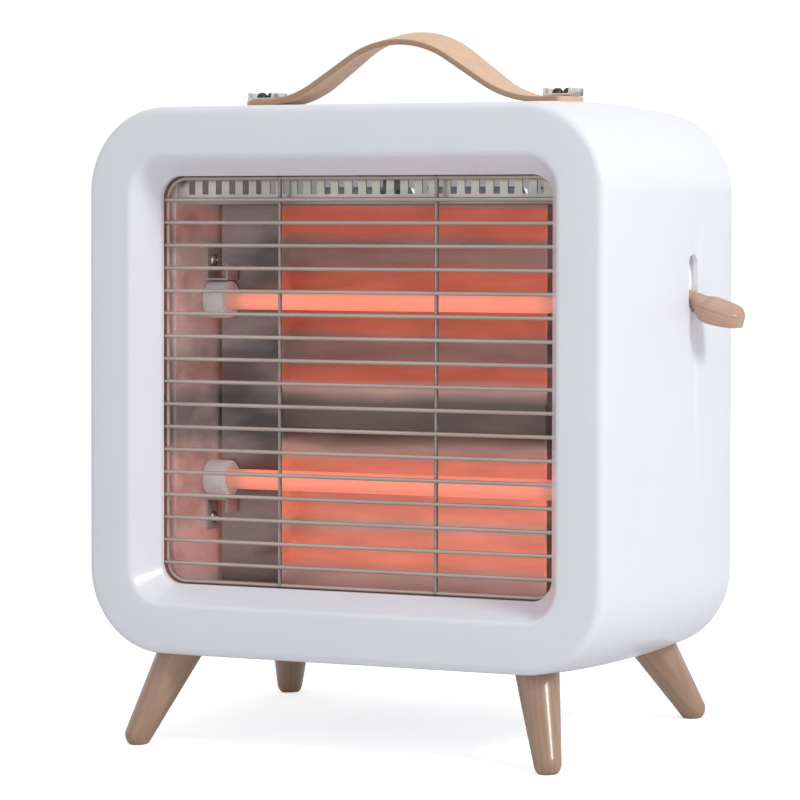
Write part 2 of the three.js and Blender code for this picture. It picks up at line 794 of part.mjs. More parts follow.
/** Slanted end cheek with an end wall that runs back to the heat shield. */
function endCheek() {
  const line = [
    [reflectorHalfLength + 10, atDepth(shieldDepth - clearance - sheet)],
    [reflectorHalfLength, atDepth(shieldDepth - clearance - sheet)],
    [reflectorHalfLength, atDepth(reflectorDepth)],
    [plateInnerX - cheekGap, atDepth(cheekFrontDepth)],
  ];
  const face = flat(folded(line, sheet));
  let made = solid(alongZ(face, middle + chamberBottom, middle + chamberTop));
  const opening = bar(holderRadius + 1, reflectorHalfLength, plateInnerX, X_AXIS, 16);
  for (const [, , tubeZ] of tubes) {
    made = cut(made, moved(opening, 0, atDepth(tubeDepth), middle + tubeZ));
  }
  return shape(made);
}
const rightCheek = endCheek();
add("end_cheek_right", rightCheek, brightSheet);
add("end_cheek_left", mirroredX(rightCheek), brightSheet);

/** A pressed trough between two heights, with flat edges; the lower one reaches down to "land". */
function trough(bottom, top, land) {
  const steps = 10;
  const line = [[atDepth(reflectorDepth), middle + land]];
  for (let k = 0; k <= steps; k++) {
    const s = (2 * k) / steps - 1;
    const y = atDepth(reflectorDepth + troughDepth * (1 - s * s));
    line.push([y, middle + bottom + troughLand + ((top - bottom) / 2 - troughLand) * (s + 1)]);
  }
  line.push([atDepth(reflectorDepth), middle + top]);
  const outline = folded([...line].reverse(), sheet);
  const half = reflectorHalfLength - clearance;
  return alongX(flat(outline), -half, half);
}
add("reflector_upper", trough(upperTroughBottom, chamberTop, lowerTroughTop + clearance), brightSheet);
add("reflector_lower", trough(chamberBottom, lowerTroughTop, chamberBottom), brightSheet);

/** Ceiling or floor of the hot chamber, with a flange turned away from the chamber in front. */
function chamberPlate(face, up, frontDepth, flange) {
  const line = [
    [atDepth(frontDepth), middle + face + up * flange],
    [atDepth(frontDepth), middle + face],
    [atDepth(reflectorDepth + 3), middle + face],
  ];
  const outline = folded(up > 0 ? line : [...line].reverse(), sheet);
  const half = plateInnerX - clearance;
  return alongX(flat(outline), -half, half);
}
const stripBack = stripDepth + sheet;
add("ceiling_plate", chamberPlate(chamberTop + clearance, 1, stripBack + clearance, 5), galvanised);
add("floor_plate", chamberPlate(chamberBottom - clearance, -1, chassisDepth + 0.4, 6), galvanised);

/** Strip with upright slots that lets warm air out over the tubes. */
function ventStrip() {
  const half = plateInnerX - clearance;
  const outline = box2(-half, half, middle + chamberTop + stripRise, middle + plateTop);
  let made = solid(alongY(flat(outline), atDepth(stripDepth), atDepth(stripBack)));
  const [w, h] = [stripSlotWidth / 2, stripSlotHeight / 2];
  const slot = alongY(flat(box2(-w, w, -h, h)), atDepth(stripDepth - 1), atDepth(stripBack + 1));
  for (let i = 0; i < stripSlotCount; i++) {
    const x = (i - (stripSlotCount - 1) / 2) * stripSlotPitch;
    made = cut(made, moved(slot, x, 0, middle + plateTop - stripSlotDrop));
  }
  return shape(made);
}
add("vent_strip", ventStrip(), greyWire);

/** Rear heat shield with rows of air slots at its top and bottom. */
function heatShield() {
  const half = plateInnerX + shieldReach;
  const top = chamberTop + shieldRise;
  const outline = box2(-half, half, middle + plateBottom, middle + top, 4);
  const holes = [];
  for (const z of [top - 14, top - 28, plateBottom + 28, plateBottom + 14]) {
    for (let i = -1; i <= 1; i++) {
      holes.push(roundHole(i * shieldSlotPitch, middle + z, shieldSlotHeight / 2, shieldSlotLength, 3));
    }
  }
  return alongY(flat(rounded(outline, 2), holes), atDepth(shieldDepth), atDepth(shieldDepth + sheet));
}
add("heat_shield", heatShield(), galvanised);

// ---------- heating tubes ----------
const holderOuter = plateInnerX - clearance;
const holderInner = holderOuter - holderLength;
const tubeEnd = holderInner + holderSocket - clearance;

/** Ceramic tube holder on the right; its socket opens towards the middle. */
function tubeHolder() {
  const socket = tubeRadius + clearance;
  const profile = [
    [socket, holderInner],
    [holderRadius - holderChamfer, holderInner],
    [holderRadius, holderInner + holderChamfer],
    [holderRadius, holderOuter - holderChamfer],
    [holderRadius - holderChamfer, holderOuter],
    [2.5, holderOuter],
    [2.5, holderInner + holderSocket],
    [socket, holderInner + holderSocket],
    [socket, holderInner],
  ];
  return turned(profile, X_AXIS);
}

function quartzTube() {
  const inner = tubeRadius - tubeWall;
  const profile = [
    [inner, -tubeEnd],
    [tubeRadius, -tubeEnd],
    [tubeRadius, tubeEnd],
    [inner, tubeEnd],
    [inner, -tubeEnd],
  ];
  return turned(profile, X_AXIS);
}

/** Heating element: a rod with support discs that keep it in the middle of its tube. */
function filament() {
  const disc = tubeRadius - tubeWall - clearance;
  const end = tubeEnd - filamentEnd;
  const profile = [[0, -end]];
  for (let i = 0; i < filamentDiscs; i++) {
    const at = -end + filamentDiscWidth + ((2 * end - 2 * filamentDiscWidth) * i) / (filamentDiscs - 1);
    const [a, b] = [at - filamentDiscWidth / 2, at + filamentDiscWidth / 2];
    profile.push([filamentRadius, a], [disc, a], [disc, b], [filamentRadius, b]);
  }
  profile.push([filamentRadius, end], [0, end]);
  profile.splice(1, 0, [filamentRadius, -end]);
  return turned(profile, X_AXIS, 8);
}

/** Folded clip on the right that holds a ceramic: foot on the side plate, arm along the ceramic. */
function holderBracket(up, tubeZ) {
  const footX = plateInnerX - clearance;
  const z = middle + tubeZ + up * bracketSeat;
  const line = [
    [footX, z + up * bracketFoot],
    [footX, z],
    [footX - bracketArm, z],
    [footX - bracketArm, z + up * bracketLip],
  ];
  const outline = folded(up > 0 ? [...line].reverse() : line, bracketSheet);
  const y = atDepth(tubeDepth);
  const made = solid(alongY(flat(outline), y - bracketWidth / 2, y + bracketWidth / 2));
  const hole = bar(bracketScrewRadius + clearance, footX - 4, footX + 2, X_AXIS);
  return shape(cut(made, moved(hole, 0, y, bracketScrewZ(up, tubeZ))));
}

const bracketScrew = panScrew(
  bracketScrewRadius,
  bracketScrewHead,
  2.2,
  bracketScrewLength,
  X_AXIS.clone().negate(),
);
for (const [level, up, tubeZ] of tubes) {
  const y = atDepth(tubeDepth);
  const z = middle + tubeZ;
  const holder = moved(tubeHolder(), 0, y, z);
  const bracket = holderBracket(up, tubeZ);
  const seat = plateInnerX - 2 * clearance - bracketSheet;
  const screw = moved(bracketScrew, seat, y, bracketScrewZ(up, tubeZ));
  for (const [side, sx] of sides) {
    const own = (geometry) => (sx > 0 ? geometry : mirroredX(geometry));
    add(`tube_holder_${level}_${side}`, own(holder), ceramic);
    add(`holder_bracket_${level}_${side}`, own(bracket), galvanised);
    add(`bracket_screw_${level}_${side}`, own(screw), chrome);
  }
  add(`quartz_tube_${level}`, moved(quartzTube(), 0, y, z), quartz);
  add(`filament_${level}`, moved(filament(), 0, y, z), element);
}

// ---------- legs ----------
/** A turned leg: a cone that ends in a ball, ground flat at the floor and shaped to the case. */
function leg(sx, sy) {
  const ball = legBall(sx, sy);
  const reach = legTop(sx, sy).distanceTo(ball);
  const spare = legTopRadius; // runs into the case and is trimmed there
  const profile = [[0, -legFootRadius]];
  for (let k = 1; k <= 5; k++) {
    const angle = ((k / 5 - 1) * Math.PI) / 2;
    profile.push([legFootRadius * Math.cos(angle), legFootRadius * Math.sin(angle)]);
  }
  const slope = (legTopRadius - legFootRadius) / reach;
  profile.push([legTopRadius + slope * spare, reach + spare], [0, reach + spare]);
  const cone = turned(profile, legAxis(sx, sy), 20).translate(ball.x, ball.y, ball.z);
  const size = bodyWidth + bodyDepth;
  const floor = alongZ(flat(box2(-size, size, -size, size)), -legFootRadius, 0);
  const hole = legBar(sx, sy, studRadius + clearance, -studInLeg - clearance, spare);
  return shape(cut(solid(cone), floor, bodyBlock(clearance).applyMatrix4(leaned), hole));
}

for (const [corner, sx, sy] of corners4) {
  add(`leg_${corner}`, leg(sx, sy), wood, assembly);
  add(`leg_stud_${corner}`, legBar(sx, sy, studRadius, -studInLeg, studAbove), steel, assembly);
}

// ---------- strap handle ----------
/** Middle line of half the strap from its crown: crown arc, straight flank and toe arc. */
function strapLine() {
  const both = crownRadius + toeRadius;
  const flank = Math.sqrt(strapFootX ** 2 + strapRise ** 2 - 2 * strapRise * both);
  const angle = Math.atan2(strapRise - both, strapFootX) + Math.atan2(both, flank);
  const steps = 7;
  const points = [];
  for (let k = 0; k <= steps; k++) {
    const a = (angle * k) / steps;
    points.push([crownRadius * Math.sin(a), strapRise - crownRadius * (1 - Math.cos(a)), a]);
  }
  for (let k = steps; k >= 0; k--) {
    const a = (angle * k) / steps;
    points.push([strapFootX - toeRadius * Math.sin(a), toeRadius * (1 - Math.cos(a)), a]);
  }
  return points;
}

function strap() {
  const half = strapLine();
  const end = [0, 0.25, 0.5, 0.75, 1].map((k) => {
    const angle = (k * Math.PI) / 2;
    const x = strapLength / 2 - strapCorner * (1 - Math.sin(angle));
    return [x, 0, 0, strapCorner * (1 - Math.cos(angle))];
  });
  const line = [
    ...end.map(([x, z, a, narrower]) => [-x, z, -a, narrower]).reverse(),
    ...half.slice(1).reverse().map(([x, z, a]) => [strapShift - x, z, -a, 0]),
    ...half.map(([x, z, a]) => [strapShift + x, z, a, 0]),
    ...end,
  ];
  const t = strapThickness / 2;
  const rings = line.map(([x, z, a, narrower]) => {
    const w = strapWidth / 2 - narrower;
    const section = [
      [-w, -t + strapEdge],
      [-w + strapEdge, -t],
      [w - strapEdge, -t],
      [w, -t + strapEdge],
      [w, t - strapEdge],
      [w - strapEdge, t],
      [-w + strapEdge, t],
      [-w, t - strapEdge],
    ];
    const lean = Math.asin(strapLean / strapWidth) * (z / strapRise);
    const up = new THREE.Vector3(Math.sin(a), 0, Math.cos(a));
    const along = new THREE.Vector3(Math.cos(a), 0, -Math.sin(a));
    const across = Y_AXIS.clone().applyAxisAngle(along, lean);
    up.applyAxisAngle(along, lean);
    const centre = new THREE.Vector3(x, 0, strapBase + t + z);
    return section.map(([y, n]) =>
      centre.clone().addScaledVector(across, y).addScaledVector(up, n),
    );
  });
  let made = solid(lofted(rings));
  for (const x of strapScrews) {
    const hole = bar(strapScrewRadius + clearance, strapBase - 2, strapBase + strapThickness + 2, Z_AXIS);
    made = cut(made, moved(hole, x, 0, 0));
  }
  return made;
}
add("handle_strap", shape(strap()), leather);

const strapPlateBase = strapBase + strapThickness + clearance;
for (const [side, sx] of sides) {
  const [l, w] = [strapPlateLength / 2, strapPlateWidth / 2];
  const x = sx * strapPlateX;
  const holes = strapScrews
    .filter((at) => at * sx > 0)
    .map((at) => roundHole(at, 0, strapScrewRadius + clearance));
  const outline = rounded(box2(x - l, x + l, -w, w, 2), 3);
  const top = strapPlateBase + strapPlateThickness;
  add(`strap_plate_${side}`, alongZ(flat(outline, holes), strapPlateBase, top), chrome);
}
strapScrews.forEach((x, i) => {
  const length = strapPlateBase + strapPlateThickness - strapBossFoot;
  const screw = panScrew(strapScrewRadius, strapScrewHead, 2.8, length, Z_AXIS, 14);
  const seat = strapPlateBase + strapPlateThickness + clearance;
  add(`strap_screw_${i + 1}`, moved(screw, x, 0, seat), darkScrew);
});

// ---------- lever switch ----------
/** Switch body on the outside of the right plate; its shaft comes out of the rear bushing. */
function switchBody() {
  const [w, h] = [switchWidth / 2, switchHeight / 2];
  const z = middle + leverZ;
  const outline = rounded(box2(pivotX - w, pivotX + w, z - h, z + h, 2), 2);
  const body = alongY(flat(outline), atDepth(switchRear - switchDepth), atDepth(switchRear));
  const bushing = bar(bushingRadius, atDepth(switchRear - 1), atDepth(switchRear + bushingLength), Y_AXIS);
  const bore = bar(
    shaftRadius + clearance,
    atDepth(switchRear - 8),
    atDepth(switchRear + bushingLength + 1),
    Y_AXIS,
  );
  const made = joined(solid(body), moved(bushing, pivotX, 0, z));
  return shape(cut(made, moved(bore, pivotX, 0, z)));
}
add("switch_body", switchBody(), blackPlastic);

// The lever is built along +X from its pivot and hangs by its rest angle.
const lever = new THREE.Group();
lever.position.set(pivotX, atDepth(leverDepth), middle + leverZ);
lever.rotation.y = THREE.MathUtils.degToRad(leverRest);
leaning.add(lever);

const skinX = bodyWidth / 2 - pivotX; // case's skin, along the lever from its pivot
const gripStart = skinX - neckInside;
const gripEnd = skinX + paddleReach;

const shaftFrom = switchRear - 8 + clearance - leverDepth;
add("switch_shaft", bar(shaftRadius, shaftFrom, hubLength / 2 - clearance, Y_AXIS), steel, lever);

/** Hub and arm of the lever, with a tang that the wooden grip is pushed onto. */
function leverArm() {
  const hub = bar(hubRadius, -hubLength / 2, hubLength / 2, Y_AXIS, 16);
  const [h, t] = [armHeight / 2, armThickness / 2];
  const arm = alongY(
    flat([
      [0, -h],
      [gripStart - clearance, -h * 0.8],
      [gripStart - clearance, h * 0.8],
      [0, h],
    ]),
    -t,
    t,
  );
  const tangFace = flat(box2(gripStart - 2, gripStart + tangLength, -tangHeight / 2, tangHeight / 2));
  const tang = alongY(tangFace, -tangThickness / 2, tangThickness / 2);
  const bore = bar(shaftRadius + clearance, -hubLength, hubLength / 2 - clearance / 2, Y_AXIS);
  return shape(cut(joined(solid(hub), arm, tang), bore));
}
add("lever_arm", leverArm(), blackPlastic, lever);

/** Wooden grip: a round neck that passes the slot and swells into a flat paddle. */
function leverGrip() {
  const around = 20;
  const stations = 12;
  const rings = [];
  const ring = (x, halfWidth, halfThickness, power) =>
    Array.from({ length: around }, (_, i) => {
      const angle = (2 * Math.PI * i) / around;
      const [c, s] = [Math.cos(angle), Math.sin(angle)];
      const y = Math.sign(c) * halfWidth * Math.abs(c) ** (2 / power);
      const z = Math.sign(s) * halfThickness * Math.abs(s) ** (2 / power);
      return new THREE.Vector3(x, y, z);
    });
  const swellStart = skinX + neckOutside;
  const swellEnd = gripEnd - 14;
  rings.push(ring(gripStart, neckRadius, neckRadius, 2));
  for (let k = 0; k <= stations; k++) {
    const x = swellStart + ((gripEnd - 1.4 - swellStart) * k) / stations;
    const s = THREE.MathUtils.smoothstep(x, swellStart, swellEnd);
    const width = THREE.MathUtils.lerp(neckRadius, paddleHalfWidth, s);
    const flatness = THREE.MathUtils.lerp(2, 4, s);
    const thick = THREE.MathUtils.lerp(neckRadius - 0.9 * Math.sin(Math.PI * s), paddleHalfThickness, s);
    rings.push(ring(x, width, thick, flatness));
  }
  rings.push(ring(gripEnd - 0.4, paddleHalfWidth - 0.5, paddleHalfThickness - 0.5, 3.6));
  rings.push(ring(gripEnd, paddleHalfWidth - 1.4, paddleHalfThickness - 1.4, 3.2));
  const [h, t] = [tangHeight / 2 + clearance, tangThickness / 2 + clearance];
  const pocket = alongY(flat(box2(gripStart - 1, gripStart + tangLength + clearance, -h, h)), -t, t);
  return shape(cut(solid(lofted(rings)), pocket));
}
add("lever_grip", leverGrip(), wood, lever);

// ---------- safety switches ----------
/** Tip-over switch on the floor of the case. */
function tiltSwitch() {
  const z = legHeight + wall + skin(tiltDepth + tiltLength / 2) + clearance;
  const y = atDepth(tiltDepth);
  const [w, l] = [tiltWidth / 2, tiltLength / 2];
  const body = alongZ(flat(rounded(box2(tiltX - w, tiltX + w, y - l, y + l, 2), 2)), z, z + tiltHeight);
  const foot = alongZ(flat(rounded(box2(tiltX - w - 8, tiltX + w + 8, y - 5, y + 5, 3), 2)), z, z + 2.5);
  const ball = moved(bar(l - 2, z + tiltHeight - 1, z + tiltHeight + 5, Z_AXIS, 16), tiltX, y, 0);
  return shape(joined(solid(body), foot, ball));
}
add("tilt_switch", tiltSwitch(), blackPlastic);

/** Thermal cut-out: a round can on a small ear plate, on the hot chamber's ceiling. */
function thermalCutout() {
  const z = middle + chamberTop + sheet + 2 * clearance;
  const y = atDepth(cutoutDepth);
  const can = moved(bar(cutoutRadius, z, z + cutoutHeight, Z_AXIS, 16), 0, y, 0);
  const ear = cutoutRadius + 8;
  const plate = alongZ(flat(rounded(box2(-ear, ear, y - 6, y + 6, 4), 2)), z, z + 1.2);
  const blades = [-5, 2].map((x) =>
    alongZ(flat(box2(x, x + 3, y - 3, y + 3)), z + cutoutHeight - 1, z + cutoutHeight + 7),
  );
  return shape(joined(solid(can), plate, ...blades));
}
add("thermal_cutout", thermalCutout(), steel);

// ---------- origin: the middle of the whole outline, on the floor ----------
const outlineBox = new THREE.Box3().setFromObject(assembly, true);
const centre = outlineBox.getCenter(new THREE.Vector3());
assembly.position.set(-centre.x, -centre.y, -outlineBox.min.z);

export default heater;
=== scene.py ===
"""Looks of a two-tube quartz heater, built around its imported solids.

Sizes in the classes are millimetres in the upright case: X to the right, Y back from the middle of the
depth, Z up from the middle of the case. The stance turns and moves them to where the case stands.
"""
import logging
import math
from dataclasses import dataclass, field
from enum import Enum
from typing import Callable, Optional, Sequence

import bmesh
import bpy
from mathutils import Matrix, Vector


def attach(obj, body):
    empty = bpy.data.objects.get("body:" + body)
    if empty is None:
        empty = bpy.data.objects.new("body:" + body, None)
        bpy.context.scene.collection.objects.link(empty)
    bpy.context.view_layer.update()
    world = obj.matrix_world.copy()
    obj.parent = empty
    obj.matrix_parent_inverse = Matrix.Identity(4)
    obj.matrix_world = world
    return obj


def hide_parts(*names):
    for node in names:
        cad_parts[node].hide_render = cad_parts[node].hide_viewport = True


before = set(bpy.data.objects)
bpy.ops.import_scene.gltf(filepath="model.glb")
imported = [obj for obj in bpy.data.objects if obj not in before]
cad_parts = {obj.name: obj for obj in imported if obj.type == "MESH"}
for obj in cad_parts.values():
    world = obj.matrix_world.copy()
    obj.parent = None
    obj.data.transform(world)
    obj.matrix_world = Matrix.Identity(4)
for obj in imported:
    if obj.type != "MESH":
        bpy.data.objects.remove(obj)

LOG = logging.getLogger("heater")
MM = 0.001
SIDES = (("left", -1), ("right", 1))
Point = tuple[float, float, float]
Ring = list[Point]
Profile = tuple[tuple[float, float], ...]
Colour = tuple[float, float, float]


def srgb(red: float, green: float, blue: float) -> Colour:
    """Linear colour of an 8-bit display colour."""
    def linear(value: float) -> float:
        """One channel, from 0-255 to linear."""
        part = value / 255
        return part / 12.92 if part <= 0.04045 else ((part + 0.055) / 1.055) ** 2.4
    return linear(red), linear(green), linear(blue)


class Body(Enum):
    """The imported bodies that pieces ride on."""

    CASE = "case"
    LEVER = "lever"


@dataclass(frozen=True)
class Stance:
    """How the upright case stands on the floor."""

    lean: float = math.radians(3.9)
    middle: float = 208.7
    shift_x: float = -16.98953
    shift_y: float = 5.14857

    @property
    def matrix(self) -> Matrix:
        """From the upright case, in millimetres, to the row frame, in metres."""
        place = Matrix.Translation((self.shift_x * MM, self.shift_y * MM, self.middle * MM))
        return place @ Matrix.Rotation(-self.lean, 4, "X") @ Matrix.Scale(MM, 4)

    @property
    def floor_matrix(self) -> Matrix:
        """From the floor under the case's middle, in millimetres, to the row frame, in metres."""
        return Matrix.Translation((self.shift_x * MM, self.shift_y * MM, 0)) @ Matrix.Scale(MM, 4)

    def upright_mapping(self) -> tuple[Vector, Vector]:
        """Location and rotation of a Mapping node that turns row coordinates upright, in metres."""
        turn = Matrix.Rotation(self.lean, 4, "X")
        place = Vector((self.shift_x, self.shift_y, self.middle)) * MM
        return -(turn @ place), Vector((self.lean, 0, 0))


STANCE = Stance()


# ---------- mesh helpers ----------
def around(place: Matrix, radius: float, angle: float, along: float) -> Point:
    """A point about the Z axis of a place."""
    return tuple(place @ Vector((radius * math.cos(angle), radius * math.sin(angle), along)))


@dataclass
class Form:
    """A mesh under construction, in millimetres."""

    points: list[Point] = field(default_factory=list)
    faces: list[tuple[int, ...]] = field(default_factory=list)

    def loft(self, rings: Sequence[Ring], closed: bool = False, caps: bool = True) -> "Form":
        """Skins rings of equally many points.

        Args:
            rings: the rings, in order.
            closed: whether the last ring joins the first.
            caps: whether an open loft gets end faces.
        Returns:
            The form itself.
        """
        start, count = len(self.points), len(rings[0])
        for ring in rings:
            self.points.extend(ring)
        for r in range(len(rings) if closed else len(rings) - 1):
            a, b = start + r * count, start + (r + 1) % len(rings) * count
            for i in range(count):
                j = (i + 1) % count
                self.faces.append((a + i, a + j, b + j, b + i))
        if caps and not closed:
            self.faces.append(tuple(start + i for i in reversed(range(count))))
            last = start + (len(rings) - 1) * count
            self.faces.append(tuple(last + i for i in range(count)))
        return self

    def turned(self, profile: Sequence[tuple[float, float]], place: Matrix, sides: int = 48) -> "Form":
        """Revolves a profile of (radius, along) about the Z axis of a place."""
        rings = [[around(place, max(radius, 1e-4), 2 * math.pi * i / sides, along) for i in range(sides)]
                 for radius, along in profile]
        return self.loft(rings, closed=profile[0] == profile[-1])

    def mesh(self, name: str, merged: bool = True) -> bpy.types.Mesh:
        """A mesh with faces pointing out and, unless its points have to stay, merged doubles, in millimetres."""
        made = bpy.data.meshes.new(name)
        made.from_pydata(self.points, [], self.faces)
        work = bmesh.new()
        work.from_mesh(made)
        if merged:
            bmesh.ops.remove_doubles(work, verts=work.verts, dist=5e-4)
            bmesh.ops.dissolve_degenerate(work, dist=1e-4, edges=work.edges)
        bmesh.ops.recalc_face_normals(work, faces=work.faces)
        work.to_mesh(made)
        work.free()
        return made


def arc_corners(corners: Sequence[tuple[float, ...]], steps: int, closed: bool = True) -> list[tuple[float, float]]:
    """An outline whose corners (x, y, radius) are rounded with a number of steps."""
    outline: list[tuple[float, float]] = []
    for i, corner in enumerate(corners):
        here, radius = Vector(corner[:2]), corner[2] if len(corner) > 2 else 0
        if not radius or (not closed and i in (0, len(corners) - 1)):
            outline.append((here.x, here.y))
            continue
        back = (Vector(corners[i - 1][:2]) - here).normalized()
        on = (Vector(corners[(i + 1) % len(corners)][:2]) - here).normalized()
        half = back.angle(on) / 2
        start = here + back * (radius / math.tan(half))
        centre = here + (back + on).normalized() * (radius / math.sin(half))
        spoke = start - centre
        end = here + on * (radius / math.tan(half)) - centre
        sweep = math.atan2(spoke.x * end.y - spoke.y * end.x, spoke.dot(end))
        for k in range(steps + 1):
            c, s = math.cos(sweep * k / steps), math.sin(sweep * k / steps)
            outline.append((centre.x + spoke.x * c - spoke.y * s, centre.y + spoke.x * s + spoke.y * c))
    return outline


def box_outline(x0: float, x1: float, y0: float, y1: float, radius: float) -> list[tuple[float, ...]]:
    """Corners of a rectangle for arc_corners."""
    return [(x0, y0, radius), (x1, y0, radius), (x1, y1, radius), (x0, y1, radius)]


def aim(place: Point, axis: Sequence[float]) -> Matrix:
    """A place whose Z axis points along an axis."""
    turn = Vector(axis).to_track_quat("Z", "Y").to_matrix().to_4x4()
    return Matrix.Translation(place) @ turn


def slab(outline: Sequence[tuple[float, float]], low: float, high: float, bevel: float,
         to_point: Callable[[float, float, float], Point]) -> Form:
    """A plate with softly broken edges from an outline about the origin of its own plane.

    Args:
        outline: the plate's corners.
        low: its lower face.
        high: its upper face.
        bevel: how far the edges are broken.
        to_point: turns (x, y, height) into a point of the case.
    Returns:
        The form.
    """
    cx = sum(x for x, _ in outline) / len(outline)
    cy = sum(y for _, y in outline) / len(outline)
    wide = max(abs(x - cx) for x, _ in outline)
    deep = max(abs(y - cy) for _, y in outline)
    rings = []
    for height, inset in ((low, bevel), (low + bevel, 0), (high - bevel, 0), (high - bevel / 3, bevel / 3),
                          (high, bevel)):
        fx, fy = 1 - inset / wide, 1 - inset / deep
        rings.append([to_point(cx + (x - cx) * fx, cy + (y - cy) * fy, height) for x, y in outline])
    return Form().loft(rings)


def settle(name: str, mesh: bpy.types.Mesh, finish: bpy.types.Material, nodes: Sequence[str],
           sharp: float = 35, matrix: Matrix = STANCE.matrix, body: Body = Body.CASE) -> bpy.types.Object:
    """Turns a mesh into a finished piece on its body.

    Args:
        name: the piece's name.
        mesh: its mesh.
        finish: its material.
        nodes: the CAD nodes that it stands for.
        sharp: edges that turn by more degrees than this stay sharp.
        matrix: from the mesh's coordinates to the row frame.
        body: the body it rides on.
    Returns:
        The piece.
    """
    mesh.transform(matrix)
    if matrix.determinant() < 0:
        mesh.flip_normals()
    mesh.polygons.foreach_set("use_smooth", [True] * len(mesh.polygons))
    mesh.set_sharp_from_angle(angle=math.radians(sharp))
    mesh.materials.clear()
    mesh.materials.append(finish)
    piece = linked(name, mesh)
    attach(piece, body.value)
    if nodes:
        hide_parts(*nodes)
    LOG.info("piece %s: %d faces", name, len(mesh.polygons))
    return piece


def evaluated(name: str, source: bpy.types.Object) -> bpy.types.Mesh:
    """The plain mesh of an object with its modifiers, which is then removed."""
    bpy.context.view_layer.update()
    graph = bpy.context.evaluated_depsgraph_get()
    made = bpy.data.meshes.new_from_object(source.evaluated_get(graph), depsgraph=graph)
    made.name = name
    source.modifiers.clear()
    bpy.data.objects.remove(source)
    return made


def linked(name: str, data: Optional[bpy.types.ID] = None) -> bpy.types.Object:
    """An object in the scene, with its data or an empty mesh."""
    made = bpy.data.objects.new(name, data or bpy.data.meshes.new(name))
    bpy.context.scene.collection.objects.link(made)
    return made


def carved(name: str, base: bpy.types.Mesh, cutters: Sequence[bpy.types.Mesh]) -> bpy.types.Mesh:
    """A mesh with other meshes cut out of it."""
    body = linked(name, base)
    tools = [linked(f"{name}_cut_{i}", cutter) for i, cutter in enumerate(cutters)]
    for tool in tools:
        cut = body.modifiers.new("cut", "BOOLEAN")
        cut.operation = "DIFFERENCE"
        cut.solver = "EXACT"
        cut.object = tool
    made = evaluated(name, body)
    for tool in tools:
        bpy.data.objects.remove(tool)
    return made


# ---------- node helpers ----------
def socket_kind(default: object) -> str:
    """The socket type that a default value needs; a text names the type itself and stands for no default."""
    if isinstance(default, str):
        return default
    if isinstance(default, tuple):
        return "Color" if len(default) == 4 else "Vector"
    return {bool: "Bool", int: "Int", float: "Float"}[type(default)]


class Wiring:
    """A node tree that is being wired."""

    prefix = "ShaderNode"

    def __init__(self, tree: bpy.types.NodeTree) -> None:
        """Keeps the tree."""
        self.tree = tree

    def take(self, defaults: dict[str, object]) -> None:
        """Gives a group its named inputs, from their default values or types."""
        self.defaults, self.sockets = defaults, {}
        for label, default in defaults.items():
            kind = f"NodeSocket{socket_kind(default)}"
            socket = self.tree.interface.new_socket(label, in_out="INPUT", socket_type=kind)
            if not isinstance(default, str):
                socket.default_value = default
            self.sockets[label] = socket.identifier
        self.source = self.tree.nodes.new("NodeGroupInput")

    def value(self, label: str) -> bpy.types.NodeSocket:
        """The socket of a named input."""
        return self.source.outputs[label]

    def node(self, kind: str, links: Optional[dict] = None, **settings: object) -> bpy.types.Node:
        """Adds a node.

        Args:
            kind: the node's type, which may leave out the tree's own beginning.
            links: values or output sockets for its inputs, by name or index.
            settings: its own properties.
        Returns:
            The node.
        """
        whole = kind.startswith(("Geometry", "Shader", "Function"))
        made = self.tree.nodes.new(kind if whole else self.prefix + kind)
        for key, value in settings.items():
            setattr(made, key, value)
        for key, value in (links or {}).items():
            if isinstance(value, bpy.types.NodeSocket):
                self.tree.links.new(value, made.inputs[key])
                continue
            if isinstance(value, tuple) and len(value) == 3 and made.inputs[key].type == "RGBA":
                value = (*value, 1.0)
            made.inputs[key].default_value = value
        return made

    def math(self, operation: str, a: object, b: object = 0.0, clamp: bool = False) -> bpy.types.NodeSocket:
        """One step of arithmetic."""
        return self.node("ShaderNodeMath", {0: a, 1: b}, operation=operation, use_clamp=clamp).outputs[0]


